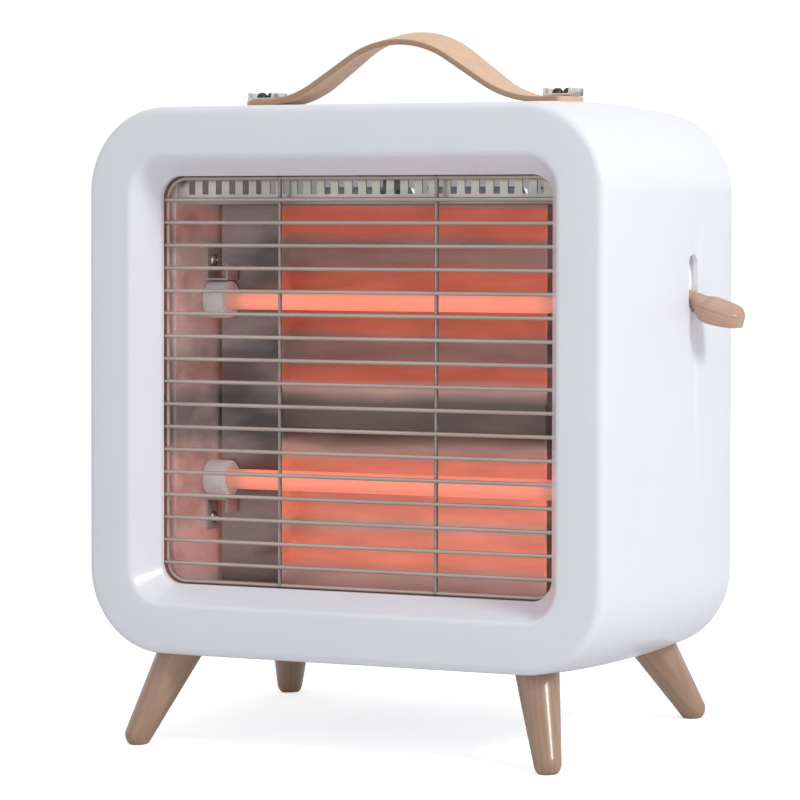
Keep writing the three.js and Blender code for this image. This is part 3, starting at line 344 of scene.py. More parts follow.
class Tree(Wiring):
    """A geometry node tree with named inputs for its sizes."""

    prefix = "GeometryNode"

    def __init__(self, name: str, **defaults: object) -> None:
        """Makes the tree with its sockets, named as the arguments but with spaces and capitals."""
        super().__init__(bpy.data.node_groups.new(name, "GeometryNodeTree"))
        named = {label.replace("_", " ").title(): default for label, default in defaults.items()}
        self.take({"Geometry": "Geometry", "Material": "Material", **named})
        self.tree.interface.new_socket("Geometry", in_out="OUTPUT", socket_type="NodeSocketGeometry")

    def vector(self, x: object = 0.0, y: object = 0.0, z: object = 0.0) -> bpy.types.NodeSocket:
        """A vector from three values."""
        return self.node("ShaderNodeCombineXYZ", {0: x, 1: y, 2: z}).outputs[0]

    def join(self, *parts: bpy.types.NodeSocket) -> bpy.types.NodeSocket:
        """Several geometries as one, in their order."""
        both = self.node("JoinGeometry")
        for part in reversed(parts):
            self.tree.links.new(part, both.inputs[0])
        return both.outputs[0]

    def placed(self, points: bpy.types.Node, shape: bpy.types.Node) -> bpy.types.Node:
        """A shape on every point."""
        return self.node("InstanceOnPoints", {"Points": points.outputs[0], "Instance": shape.outputs[0]})

    def rounded(self, width: object, height: object, radius: object, count: int) -> bpy.types.Node:
        """A rectangle with round corners."""
        box = self.node("CurvePrimitiveQuadrilateral", {"Width": width, "Height": height})
        return self.node("FilletCurve", {"Curve": box.outputs[0], "Count": count, "Radius": radius}, mode="POLY")

    def turned(self, shape: bpy.types.Node, x: float, y: float = 0.0, to: object = (0.0, 0.0, 0.0)) -> bpy.types.Node:
        """A shape that is turned about X and Y, then moved."""
        return self.node("Transform", {"Geometry": shape.outputs[0], "Rotation": (x, y, 0.0), "Translation": to})

    def piped(self, curve: bpy.types.Node, radius: object, sides: int, capped: bool = True) -> bpy.types.Node:
        """A round wire along a curve."""
        ring = self.node("CurvePrimitiveCircle", {"Resolution": sides, "Radius": radius})
        return self.node("CurveToMesh", {"Curve": curve.outputs[0], "Profile Curve": ring.outputs[0],
                                         "Fill Caps": capped})

    def finish(self, geometry: bpy.types.NodeSocket) -> None:
        """Ends the tree with real instances and the material."""
        real = self.node("RealizeInstances", {"Geometry": geometry})
        dressed = self.node("SetMaterial", {"Geometry": real.outputs[0], "Material": self.value("Material")})
        out = self.tree.nodes.new("NodeGroupOutput")
        self.tree.links.new(dressed.outputs[0], out.inputs[0])

    def run(self, name: str, material: bpy.types.Material, values: dict[str, object],
            base: Optional[bpy.types.Mesh] = None) -> bpy.types.Mesh:
        """The tree's result as a plain mesh.

        Args:
            name: the mesh's name.
            material: what Set Material puts on.
            values: the named inputs' values.
            base: the mesh that the tree starts from.
        Returns:
            The mesh.
        """
        thing = linked(name, base)
        modifier = thing.modifiers.new(self.tree.name, "NODES")
        modifier.node_group = self.tree
        modifier[self.sockets["Material"]] = material
        for label, value in values.items():
            modifier[self.sockets[label]] = float(value) if isinstance(self.defaults[label], float) else value
        return evaluated(name, thing)


def guard_tree() -> Tree:
    """The wire guard: a round-cornered frame, rows of wires and two uprights."""
    tree = Tree("wire_guard", half_width=100.0, half_height=100.0, corner=10.0, wire_radius=1.0, frame_radius=1.5,
                rows=10, pitch=10.0, top_row=90.0, upright_x=50.0, row_depth=0.0, upright_depth=0.0, frame_depth=0.0)
    v = tree.value
    double = lambda label: tree.math("MULTIPLY", v(label), 2.0)
    outline = tree.rounded(double("Half Width"), double("Half Height"), v("Corner"), 10)
    upright = tree.turned(outline, math.pi / 2, to=tree.vector(0.0, v("Frame Depth")))
    border = tree.piped(upright, v("Frame Radius"), 16, False)
    reach = tree.math("ADD", v("Half Width"), tree.math("MULTIPLY", v("Frame Radius"), 0.6))
    minus = lambda value: tree.math("MULTIPLY", value, -1.0)
    parts = [border.outputs[0]]
    for start, end, count, first, step in (
        (tree.vector(minus(reach)), tree.vector(reach), v("Rows"),
         tree.vector(0.0, v("Row Depth"), v("Top Row")), tree.vector(0.0, 0.0, minus(v("Pitch")))),
        (tree.vector(0.0, 0.0, minus(v("Half Height"))), tree.vector(0.0, 0.0, v("Half Height")), 2,
         tree.vector(minus(v("Upright X")), v("Upright Depth"), 0.0), tree.vector(double("Upright X"), 0.0, 0.0)),
    ):
        line = tree.node("CurvePrimitiveLine", {"Start": start, "End": end})
        places = tree.node("MeshLine", {"Count": count, "Start Location": first, "Offset": step})
        parts.append(tree.placed(places, tree.piped(line, v("Wire Radius"), 14)).outputs[0])
    tree.finish(tree.join(*parts))
    return tree


def slot_tree() -> Tree:
    """Rows and columns of slots cut through a plate that lies in X and Z, with slanted vanes inside them."""
    tree = Tree("slotted_plate", columns=3, rows=1, pitch_x=10.0, pitch_z=10.0, first=(0.0, 0.0, 0.0), width=4.0,
                height=9.0, round=0.1, through=12.0, vanes=False, vane_depth=-10.0, vane_length=8.6, vane_sheet=0.9)
    v = tree.value
    outline = tree.rounded(v("Width"), v("Height"), v("Round"), 6)
    face = tree.node("FillCurve", {"Curve": outline.outputs[0]}, mode="NGONS")
    body = tree.node("ExtrudeMesh", {"Mesh": face.outputs[0], "Offset Scale": v("Through"), "Individual": False})
    floor = tree.node("FlipFaces", {"Mesh": face.outputs[0]})
    shut = tree.join(floor.outputs[0], body.outputs[0])
    whole = tree.node("MergeByDistance", {"Geometry": shut, "Distance": 0.001})
    upright = tree.turned(whole, math.pi / 2)
    columns = tree.node("MeshLine", {"Count": v("Columns"), "Offset": tree.vector(v("Pitch X"))})
    row = tree.placed(columns, upright)
    rows = tree.node("MeshLine", {"Count": v("Rows"), "Start Location": v("First"),
                                  "Offset": tree.vector(0.0, 0.0, v("Pitch Z"))})
    real = tree.node("RealizeInstances", {"Geometry": tree.placed(rows, row).outputs[0]})
    cut = tree.node("MeshBoolean", {"Mesh 1": v("Geometry"), "Mesh 2": real.outputs[0]}, operation="DIFFERENCE")
    blade = tree.node("MeshCube", {"Size": tree.vector(v("Width"), v("Vane Length"), v("Vane Sheet"))})
    slanted = tree.turned(blade, -math.pi / 4, to=tree.vector(0.0, v("Vane Depth")))
    vanes = tree.placed(rows, tree.placed(columns, slanted))
    picked = tree.node("Switch", {"Switch": v("Vanes"), "True": vanes.outputs[0]}, input_type="GEOMETRY")
    tree.finish(tree.join(cut.outputs[0], picked.outputs[0]))
    return tree


def screw_tree() -> Tree:
    """One screw shape on every point of a mesh, along an axis and at a size."""
    tree = Tree("screws", shape="Object", axis=(0.0, 0.0, 1.0), size=1.0, seed=7)
    v = tree.value
    info = tree.node("ObjectInfo", {"Object": v("Shape")})
    point = tree.node("FunctionNodeAlignRotationToVector", {"Vector": v("Axis")}, axis="Z")
    turn = tree.node("FunctionNodeRandomValue", {2: 0.0, 3: 2 * math.pi, "Seed": v("Seed")}, data_type="FLOAT")
    spin = tree.node("FunctionNodeAxisAngleToRotation", {"Axis": (0.0, 0.0, 1.0), "Angle": turn.outputs[1]})
    both = tree.node("FunctionNodeRotateRotation", {0: point.outputs[0], 1: spin.outputs[0]}, rotation_space="LOCAL")
    size = tree.vector(v("Size"), v("Size"), v("Size"))
    many = tree.node("InstanceOnPoints", {"Points": v("Geometry"), "Instance": info.outputs["Geometry"],
                                          "Rotation": both.outputs[0], "Scale": size})
    tree.finish(many.outputs[0])
    return tree


def coil_tree() -> Tree:
    """A wire wound into an even helix along X, with support discs spaced along it."""
    tree = Tree("heating_coil", half_length=100.0, coil_radius=3.0, wire_radius=0.4, turns=90.0, discs=7,
                disc_radius=4.8, disc_width=2.0)
    v = tree.value
    length = tree.math("MULTIPLY", v("Half Length"), 2.0)
    helix = tree.node("CurveSpiral", {"Resolution": 12, "Rotations": v("Turns"), "Start Radius": v("Coil Radius"),
                                      "End Radius": v("Coil Radius"), "Height": length})
    laid = tree.turned(helix, 0.0, math.pi / 2, tree.vector(tree.math("MULTIPLY", v("Half Length"), -1.0)))
    wire = tree.piped(laid, v("Wire Radius"), 5)
    disc = tree.node("MeshCylinder", {"Vertices": 24, "Radius": v("Disc Radius"), "Depth": v("Disc Width")})
    flat = tree.turned(disc, 0.0, math.pi / 2)
    inner = tree.math("SUBTRACT", v("Half Length"), v("Disc Width"))
    gaps = tree.math("SUBTRACT", v("Discs"), 1.0)
    step = tree.math("DIVIDE", tree.math("MULTIPLY", inner, 2.0), gaps)
    first = tree.vector(tree.math("MULTIPLY", inner, -1.0))
    places = tree.node("MeshLine", {"Count": v("Discs"), "Start Location": first, "Offset": tree.vector(step)})
    tree.finish(tree.join(wire.outputs[0], tree.placed(places, flat).outputs[0]))
    return tree


# ---------- shader helpers ----------
class Nodes(Wiring):
    """A shader node tree, of a material or a group."""

    def swung(self, base: object, by: object) -> tuple[bpy.types.NodeSocket, bpy.types.NodeSocket]:
        """A value less and plus another."""
        return self.math("SUBTRACT", base, by), self.math("ADD", base, by)

    def scaled(self, vector: bpy.types.NodeSocket, factors: Point) -> bpy.types.NodeSocket:
        """A vector times a factor for each axis."""
        return self.node("VectorMath", {0: vector, 1: factors}, operation="MULTIPLY").outputs[0]

    def noise(self, vector: bpy.types.NodeSocket, scale: object, detail: float = 3.0) -> bpy.types.NodeSocket:
        """The value of a noise texture."""
        return self.node("TexNoise", {"Vector": vector, "Scale": scale, "Detail": detail}).outputs["Fac"]

    def spread(self, value: bpy.types.NodeSocket, low: object, high: object,
               start: float = 0.3, end: float = 0.7) -> bpy.types.NodeSocket:
        """A value mapped to a range, clamped."""
        links = {"Value": value, "From Min": start, "From Max": end, "To Min": low, "To Max": high}
        return self.node("MapRange", links).outputs["Result"]

    def ramp(self, value: bpy.types.NodeSocket, stops: Sequence[tuple[float, Colour]]) -> bpy.types.NodeSocket:
        """A colour from a ramp."""
        made = self.node("ValToRGB", {0: value})
        while len(made.color_ramp.elements) < len(stops):
            made.color_ramp.elements.new(0.5)
        for element, (place, colour) in zip(made.color_ramp.elements, stops):
            element.position = place
        for element, (place, colour) in zip(made.color_ramp.elements, stops):
            element.color = (*colour, 1.0)
        return made.outputs["Color"]

    def mixed(self, factor: object, a: object, b: object) -> bpy.types.NodeSocket:
        """A mix of two colours."""
        mix = self.node("Mix", {0: factor}, data_type="RGBA")
        for index, value in ((6, a), (7, b)):
            if isinstance(value, bpy.types.NodeSocket):
                self.tree.links.new(value, mix.inputs[index])
            else:
                mix.inputs[index].default_value = (*value, 1.0)
        return mix.outputs[2]


class Effect(Nodes):
    """A shader node group that starts from a Vector and its other named inputs."""

    def __init__(self, name: str, outputs: Sequence[str] = ("Color", "Roughness", "Height"),
                 **defaults: object) -> None:
        """Makes the group and its sockets."""
        super().__init__(bpy.data.node_groups.new(name, "ShaderNodeTree"))
        self.take({"Vector": "Vector", **defaults})
        for label in outputs:
            kind = "Color" if label == "Color" else "Float"
            self.tree.interface.new_socket(label, in_out="OUTPUT", socket_type=f"NodeSocket{kind}")
        self.drain = self.tree.nodes.new("NodeGroupOutput")

    def out(self, label: str, socket: bpy.types.NodeSocket) -> None:
        """Wires a named output."""
        self.tree.links.new(socket, self.drain.inputs[label])


WHITE4 = (1.0, 1.0, 1.0, 1.0)


def mottle_effect() -> bpy.types.NodeTree:
    """Uneven tone and a fine skin, as on moulded plastic, ceramic and cast metal."""
    fx = Effect("mottle", Color=WHITE4, Scale=30.0, Amount=0.03, Roughness=0.4, Fine=900.0)
    cloud = fx.noise(fx.value("Vector"), fx.value("Scale"), 4.0)
    level = fx.spread(cloud, *fx.swung(1.0, fx.value("Amount")))
    tone = fx.node("HueSaturation", {"Value": level, "Color": fx.value("Color")})
    swing = fx.math("MULTIPLY", fx.math("SUBTRACT", cloud, 0.5), fx.math("MULTIPLY", fx.value("Amount"), 4.0))
    fx.out("Color", tone.outputs[0])
    fx.out("Roughness", fx.math("ADD", fx.value("Roughness"), swing, clamp=True))
    fx.out("Height", fx.noise(fx.value("Vector"), fx.value("Fine"), 2.0))
    return fx.tree


def brushed_effect() -> bpy.types.NodeTree:
    """Fine rolling streaks along X and broad staining as on sheet metal, which at high amounts is painted mottled
    reflection.
    """
    fx = Effect("brushed", Color=WHITE4, Scale=500.0, Amount=0.08, Roughness=0.3, Stain=0.1)
    lines = fx.noise(fx.scaled(fx.value("Vector"), (0.03, 1.0, 1.0)), fx.value("Scale"))
    stains_and_sheen = fx.noise(fx.scaled(fx.value("Vector"), (0.6, 1.0, 1.6)), 22.0)
    fine = fx.spread(lines, *fx.swung(1.0, fx.value("Amount")))
    broad = fx.spread(stains_and_sheen, *fx.swung(1.0, fx.value("Stain")), 0.4, 0.6)
    tone = fx.node("HueSaturation", {"Value": fx.math("MULTIPLY", fine, broad), "Color": fx.value("Color")})
    swing = fx.math("MULTIPLY", fx.math("SUBTRACT", stains_and_sheen, 0.5), 0.3)
    fx.out("Color", tone.outputs[0])
    fx.out("Roughness", fx.math("ADD", fx.value("Roughness"), swing, clamp=True))
    fx.out("Height", lines)
    return fx.tree


def grain_effect() -> bpy.types.NodeTree:
    """Wood with its grain along Z: growth bands, fibres and pores."""
    fx = Effect("wood_grain", Light=WHITE4, Dark=WHITE4, Scale=90.0, Roughness=0.4)
    along = fx.scaled(fx.value("Vector"), (1.0, 1.0, 0.12))
    warp = fx.noise(along, fx.value("Scale"), 4.0)
    bands = fx.node("TexWave", {"Vector": along, "Scale": fx.value("Scale"), "Distortion": 5.0, "Detail": 2.0},
                    wave_type="BANDS", bands_direction="X").outputs["Fac"]
    fibre = fx.noise(fx.scaled(fx.value("Vector"), (1.0, 1.0, 0.02)), 1400.0, 2.0)
    pores = fx.spread(fx.noise(fx.scaled(fx.value("Vector"), (1.0, 1.0, 0.06)), 2200.0, 1.0), 0.0, 1.0, 0.62, 0.72)
    mix = fx.math("ADD", fx.math("MULTIPLY", warp, 0.62), fx.math("MULTIPLY", bands, 0.16))
    mix = fx.math("ADD", mix, fx.math("MULTIPLY", fibre, 0.25))
    tone = fx.mixed(fx.spread(mix, 0.0, 1.0, 0.3, 0.78), fx.value("Dark"), fx.value("Light"))
    tone = fx.mixed(fx.math("MULTIPLY", pores, 0.2), tone, fx.value("Dark"))
    fx.out("Color", tone)
    fx.out("Roughness", fx.math("ADD", fx.value("Roughness"), fx.math("MULTIPLY", pores, 0.15), clamp=True))
    fx.out("Height", fx.math("SUBTRACT", fibre, pores))
    return fx.tree


class Glow(Enum):
    """Tones of the tubes' light on the reflectors, painted on as emission."""

    HOT = srgb(206, 108, 88)
    RED = srgb(162, 76, 60)
    PALE = srgb(152, 120, 114)
    MAUVE = srgb(108, 84, 80)
    GREY = srgb(44, 42, 42)


LIT_HALF = 0.0898  # the troughs' half length in metres; what lies beyond it gets a quarter of the light

# Bands of that painted light by height in the upright case, from the chamber's floor to its ceiling, darker over the
# flat stretch between the two troughs.
BANDS = ((-126, Glow.MAUVE), (-118, Glow.PALE), (-110, Glow.HOT), (-94, Glow.HOT), (-88, Glow.PALE), (-82, Glow.HOT),
         (-50, Glow.HOT), (-40, Glow.PALE), (-36, Glow.MAUVE), (-31, Glow.GREY), (-13, Glow.GREY), (-9, Glow.MAUVE),
         (-5, Glow.PALE), (0, Glow.RED), (5, Glow.RED), (11, Glow.MAUVE), (23, Glow.MAUVE), (29, Glow.RED),
         (62, Glow.RED), (69, Glow.MAUVE), (82, Glow.MAUVE), (87, Glow.RED), (101, Glow.RED), (104, Glow.MAUVE))


def glow_effect() -> bpy.types.NodeTree:
    """The two tubes' light on the reflectors, painted as emission: level bands, a little uneven along X and a little
    brighter towards +X, and where it falls.
    """
    fx = Effect("tube_glow", ("Color", "Mask"))
    split = fx.node("SeparateXYZ", {0: fx.value("Vector")})
    wobble = fx.noise(fx.scaled(fx.value("Vector"), (0.35, 1.0, 1.0)), 28.0, 2.0)
    height = fx.math("ADD", split.outputs[2], fx.spread(wobble, -0.0025, 0.0025))
    low, high = BANDS[0][0] * MM, BANDS[-1][0] * MM
    place = fx.spread(height, 0.0, 1.0, low, high)
    tones = [((z - BANDS[0][0]) / (BANDS[-1][0] - BANDS[0][0]), tone.value) for z, tone in BANDS]
    colour = fx.ramp(place, tones)
    patch = fx.noise(fx.scaled(fx.value("Vector"), (0.25, 1.0, 1.3)), 60.0)
    slope = fx.spread(split.outputs[0], 0.92, 1.1, -0.08, 0.08)
    level = fx.math("MULTIPLY", fx.spread(patch, 0.78, 1.22), slope)
    varied = fx.node("HueSaturation", {"Value": level, "Color": colour})
    reach = fx.math("ABSOLUTE", split.outputs[0])
    fx.out("Color", varied.outputs[0])
    fx.out("Mask", fx.spread(reach, 1.0, 0.25, LIT_HALF, LIT_HALF + 0.0006))
    return fx.tree


class Coordinates(Enum):
    """What a material's pattern follows."""

    OBJECT = "object"
    UPRIGHT = "upright"
    GRAIN = "grain"


@dataclass
class Effects:
    """The shared shader groups."""

    mottle: bpy.types.NodeTree = field(default_factory=mottle_effect)
    brushed: bpy.types.NodeTree = field(default_factory=brushed_effect)
    grain: bpy.types.NodeTree = field(default_factory=grain_effect)
    glow: bpy.types.NodeTree = field(default_factory=glow_effect)


class Coat(Nodes):
    """A material with one Principled shader that takes colour, roughness and bump from an effect."""

    def __init__(self, name: str, follows: Coordinates) -> None:
        """Makes the material and its coordinates."""
        self.material = bpy.data.materials.new(name)
        self.material.use_nodes = True
        super().__init__(self.material.node_tree)
        self.shader = self.tree.nodes["Principled BSDF"]
        if follows is Coordinates.GRAIN:
            self.vector = self.node("Attribute", attribute_name="grain").outputs["Vector"]
        else:
            self.vector = self.node("TexCoord").outputs["Object"]
        if follows is Coordinates.UPRIGHT:
            place, turn = STANCE.upright_mapping()
            self.vector = self.node("Mapping", {"Vector": self.vector, "Location": place, "Rotation": turn}).outputs[0]

    def effect(self, tree: bpy.types.NodeTree, **values: object) -> bpy.types.Node:
        """Places an effect with its own values."""
        made = self.node("Group")
        made.node_tree = tree
        self.tree.links.new(self.vector, made.inputs["Vector"])
        for key, value in values.items():
            made.inputs[key].default_value = (*value, 1.0) if isinstance(value, tuple) else value
        return made

    def wire(self, effect: bpy.types.Node, bump: float) -> None:
        """Feeds the shader from an effect."""
        self.tree.links.new(effect.outputs["Color"], self.shader.inputs["Base Color"])
        self.tree.links.new(effect.outputs["Roughness"], self.shader.inputs["Roughness"])
        self.bump(effect.outputs["Height"], bump, 0.0002)

    def bump(self, height: bpy.types.NodeSocket, strength: float, distance: float) -> None:
        """Feeds the shader's normal."""
        made = self.node("Bump", {"Strength": strength, "Distance": distance, "Height": height})
        self.tree.links.new(made.outputs[0], self.shader.inputs["Normal"])

    def lit(self, level: object, tone: object, strength: float) -> None:
        """Lets the surface shine with a level of a colour."""
        made = self.node("HueSaturation", {"Value": level, "Color": tone})
        self.tree.links.new(made.outputs[0], self.shader.inputs["Emission Color"])
        self.fix(Emission_Strength=strength)

    def fix(self, **values: object) -> "Coat":
        """Sets plain values on the shader's own sockets; underscores stand for spaces."""
        for key, value in values.items():
            self.shader.inputs[key.replace("_", " ")].default_value = value
        return self


@dataclass(frozen=True)
class Moulded:
    """Moulded plastic or fired ceramic."""

    name: str
    tone: Colour
    roughness: float
    amount: float = 0.012
    scale: float = 14.0
    fine: float = 900.0
    bump: float = 0.06
    coat: float = 0.0
    glow: float = 0.0
    glow_face: float = 0.0
    painted_daylight: Colour = (0.93, 0.93, 0.88)

    def make(self, fx: Effects) -> bpy.types.Material:
        """The material; if it glows it emits painted light, a pale glow standing in for light that a thin pale wall
        lets through from outside, on the whole surface or only on the face at a depth.
        """
        coat = Coat(self.name, Coordinates.UPRIGHT if self.glow else Coordinates.OBJECT)
        coat.wire(coat.effect(fx.mottle, Color=self.tone, Scale=self.scale, Amount=self.amount,
                              Roughness=self.roughness, Fine=self.fine), self.bump)
        # painted light: a pale emission on a part that is no lamp
        if self.glow:
            level = coat.spread(coat.noise(coat.vector, 40.0), 0.85 * self.glow, 1.15 * self.glow)
            if self.glow_face:
                deep = coat.node("SeparateXYZ", {0: coat.vector}).outputs[1]
                off = coat.math("ABSOLUTE", coat.math("SUBTRACT", deep, self.glow_face))
                level = coat.math("MULTIPLY", level, coat.spread(off, 1.0, 0.0, 0.0002, 0.0005))
            coat.lit(level, self.painted_daylight, 1.0)
        return coat.fix(Coat_Weight=self.coat, Coat_Roughness=0.12).material


@dataclass(frozen=True)
class Sheet:
    """Rolled, plated or polished metal."""

    name: str
    tone: Colour
    roughness: float
    metallic: float = 1.0
    amount: float = 0.06
    stain_and_sheen: float = 0.08
    scale: float = 500.0
    bump: float = 0.05
    glow: float = 0.0
    upright_x: float = 0.0
    upright_half: float = 0.0014
    upright_front: float = -0.067
    upright_tone: Colour = srgb(84, 80, 78)

    def make(self, fx: Effects) -> bpy.types.Material:
        """The material, with a painted reflection of the tubes' light on it as emission if it glows, and with duller
        uprights if it has them.
        """
        coat = Coat(self.name, Coordinates.UPRIGHT)
        effect = coat.effect(fx.brushed, Color=self.tone, Scale=self.scale, Amount=self.amount,
                             Roughness=self.roughness, Stain=self.stain_and_sheen)
        coat.wire(effect, self.bump)
        coat.fix(Metallic=self.metallic)
        if self.upright_x:
            split = coat.node("SeparateXYZ", {0: coat.vector})
            off = coat.math("SUBTRACT", coat.math("ABSOLUTE", split.outputs[0]), self.upright_x)
            near = coat.math("MULTIPLY", coat.math("LESS_THAN", coat.math("ABSOLUTE", off), self.upright_half),
                             coat.math("GREATER_THAN", split.outputs[1], self.upright_front))
            dull = coat.mixed(coat.math("MULTIPLY", near, 0.6), effect.outputs["Color"], self.upright_tone)
            coat.tree.links.new(dull, coat.shader.inputs["Base Color"])
        # painted light: the sheet emits the tubes' reflected bands, though it is no lamp
        if self.glow:
            light = coat.effect(fx.glow)
            shown = coat.mixed(light.outputs["Mask"], (0.0, 0.0, 0.0), light.outputs["Color"])
            coat.tree.links.new(shown, coat.shader.inputs["Emission Color"])
            coat.fix(Emission_Strength=self.glow)
        return coat.material


@dataclass(frozen=True)
class Timber:
    """Oiled wood with its grain along the piece."""

    name: str
    light: Colour
    dark: Colour
    roughness: float = 0.36
    scale: float = 95.0

    def make(self, fx: Effects) -> bpy.types.Material:
        """The material."""
        coat = Coat(self.name, Coordinates.GRAIN)
        coat.wire(coat.effect(fx.grain, Light=self.light, Dark=self.dark, Scale=self.scale,
                              Roughness=self.roughness), 0.05)
        return coat.fix(Coat_Weight=0.5, Coat_Roughness=0.16).material


@dataclass(frozen=True)
class Hide:
    """Smooth strap leather: pebbled skin, soft creases and darker cut edges."""

    name: str
    tone: Colour
    edge: Colour
    half_width: float = 0.0148

    def make(self, fx: Effects) -> bpy.types.Material:
        """The material."""
        coat = Coat(self.name, Coordinates.GRAIN)
        skin = coat.effect(fx.mottle, Color=self.tone, Scale=120.0, Amount=0.06, Roughness=0.5, Fine=2200.0)
        cells = coat.node("TexVoronoi", {"Vector": coat.vector, "Scale": 1500.0}).outputs["Distance"]
        across = coat.math("ABSOLUTE", coat.node("SeparateXYZ", {0: coat.vector}).outputs[1])
        rim = coat.spread(across, 0.0, 1.0, self.half_width - 0.0009, self.half_width)
        colour = coat.mixed(rim, skin.outputs["Color"], self.edge)
        coat.tree.links.new(colour, coat.shader.inputs["Base Color"])
        coat.tree.links.new(skin.outputs["Roughness"], coat.shader.inputs["Roughness"])
        coat.bump(coat.math("ADD", cells, skin.outputs["Height"]), 0.2, 0.00015)
        return coat.fix(Coat_Weight=0.1, Coat_Roughness=0.4).material


@dataclass(frozen=True)
class HotQuartz:
    """Quartz sleeve lit from inside: bright middle, paler ends, faint turns of the coil."""

    name: str
    middle: Colour
    end: Colour
    pitch: float = 0.0024
    hot_to: float = 0.097
    cool_from: float = 0.106
    strength: float = 0.62

    def make(self, fx: Effects) -> bpy.types.Material:
        """The material."""
        coat = Coat(self.name, Coordinates.UPRIGHT)
        split = coat.node("SeparateXYZ", {0: coat.vector})
        reach = coat.math("ABSOLUTE", split.outputs[0])
        cool = coat.spread(reach, 0.0, 1.0, self.hot_to, self.cool_from)
        turns = coat.math("SINE", coat.math("MULTIPLY", split.outputs[0], 2 * math.pi / self.pitch))
        cloud = coat.noise(coat.scaled(coat.vector, (0.3, 1.0, 1.0)), 60.0)
        level = coat.math("ADD", coat.math("MULTIPLY", turns, 0.035), coat.spread(cloud, 0.92, 1.08))
        coat.lit(level, coat.mixed(cool, self.middle, self.end), self.strength)
        coat.wire(coat.effect(fx.mottle, Color=self.middle, Scale=60.0, Amount=0.02, Roughness=0.16), 0.03)
        return coat.material


@dataclass(frozen=True)
class HotWire:
    """Glowing resistance wire."""

    name: str
    tone: Colour
    strength: float = 1.6

    def make(self, fx: Effects) -> bpy.types.Material:
        """The material."""
        coat = Coat(self.name, Coordinates.UPRIGHT)
        coat.wire(coat.effect(fx.mottle, Color=self.tone, Scale=200.0, Amount=0.15, Roughness=0.6), 0.05)
        coat.lit(coat.spread(coat.noise(coat.vector, 90.0, 2.0), 0.8, 1.2), self.tone, self.strength)
        return coat.material


class Finishes:
    """Every finish of the heater, made once."""

    def __init__(self) -> None:
        """Builds the shared effects and the materials."""
        fx = Effects()
        self.plastic = Moulded("white_plastic", srgb(238, 240, 249), 0.3, coat=0.3).make(fx)
        self.black = Moulded("black_plastic", srgb(34, 34, 36), 0.5, 0.05, 60.0, bump=0.15).make(fx)
        self.ceramic = Moulded("ceramic", srgb(238, 240, 242), 0.62, 0.05, 70.0, 1500.0, 0.12).make(fx)
        self.wire = Sheet("guard_wire", srgb(190, 176, 168), 0.42, 0.6, 0.05, 0.06, upright_x=0.052).make(fx)
        self.strip = Sheet("vent_metal", srgb(198, 194, 186), 0.36, 0.8, 0.05, 0.16).make(fx)
        # The cheek's and the side plate's strong staining is painted mottled reflection; they and the troughs also
        # emit painted light of the tubes.
        self.cheek = Sheet("cheek_reflector", srgb(114, 105, 103), 0.26, 1.0, 0.05, 0.42, glow=0.3).make(fx)
        self.side = Sheet("side_reflector", srgb(202, 198, 197), 0.4, 0.45, 0.05, 0.3, glow=1.2).make(fx)
        self.trough = Sheet("lit_reflector", srgb(100, 86, 80), 0.3, 1.0, 0.05, 0.16, glow=1.0).make(fx)
        self.galvanised = Sheet("galvanised_sheet", srgb(182, 176, 174), 0.5, 0.45, 0.08, 0.16, 260.0).make(fx)
        self.steel = Sheet("zinc_steel", srgb(164, 165, 166), 0.36, 1.0).make(fx)
        self.chrome = Sheet("chrome_plate", srgb(206, 206, 206), 0.16, 1.0, 0.02, 0.04).make(fx)
        self.dark = Sheet("dark_screw", srgb(66, 62, 58), 0.32, 0.9, 0.05, 0.1).make(fx)
        self.leather = Hide("strap_leather", srgb(223, 186, 154), srgb(178, 144, 118)).make(fx)
        # The rear cover's inner face and the slot shutter glow with painted light, which keeps the inside seen through
        # the vents and the lever's slot pale.
        self.cover = Moulded("cover_plastic", srgb(238, 240, 249), 0.3, coat=0.3, glow=0.2, glow_face=0.0858).make(fx)
        self.shutter = Moulded("shutter_plastic", srgb(238, 240, 249), 0.3, coat=0.3, glow=0.2).make(fx)
        self.wood = Timber("leg_wood", srgb(178, 143, 121), srgb(154, 120, 99)).make(fx)
        self.grip_wood = Timber("grip_wood", srgb(204, 165, 142), srgb(178, 140, 119), scale=140.0).make(fx)
        self.quartz = HotQuartz("hot_quartz", srgb(250, 146, 122), srgb(140, 122, 114)).make(fx)
        self.coil = HotWire("hot_wire", srgb(255, 110, 62)).make(fx)


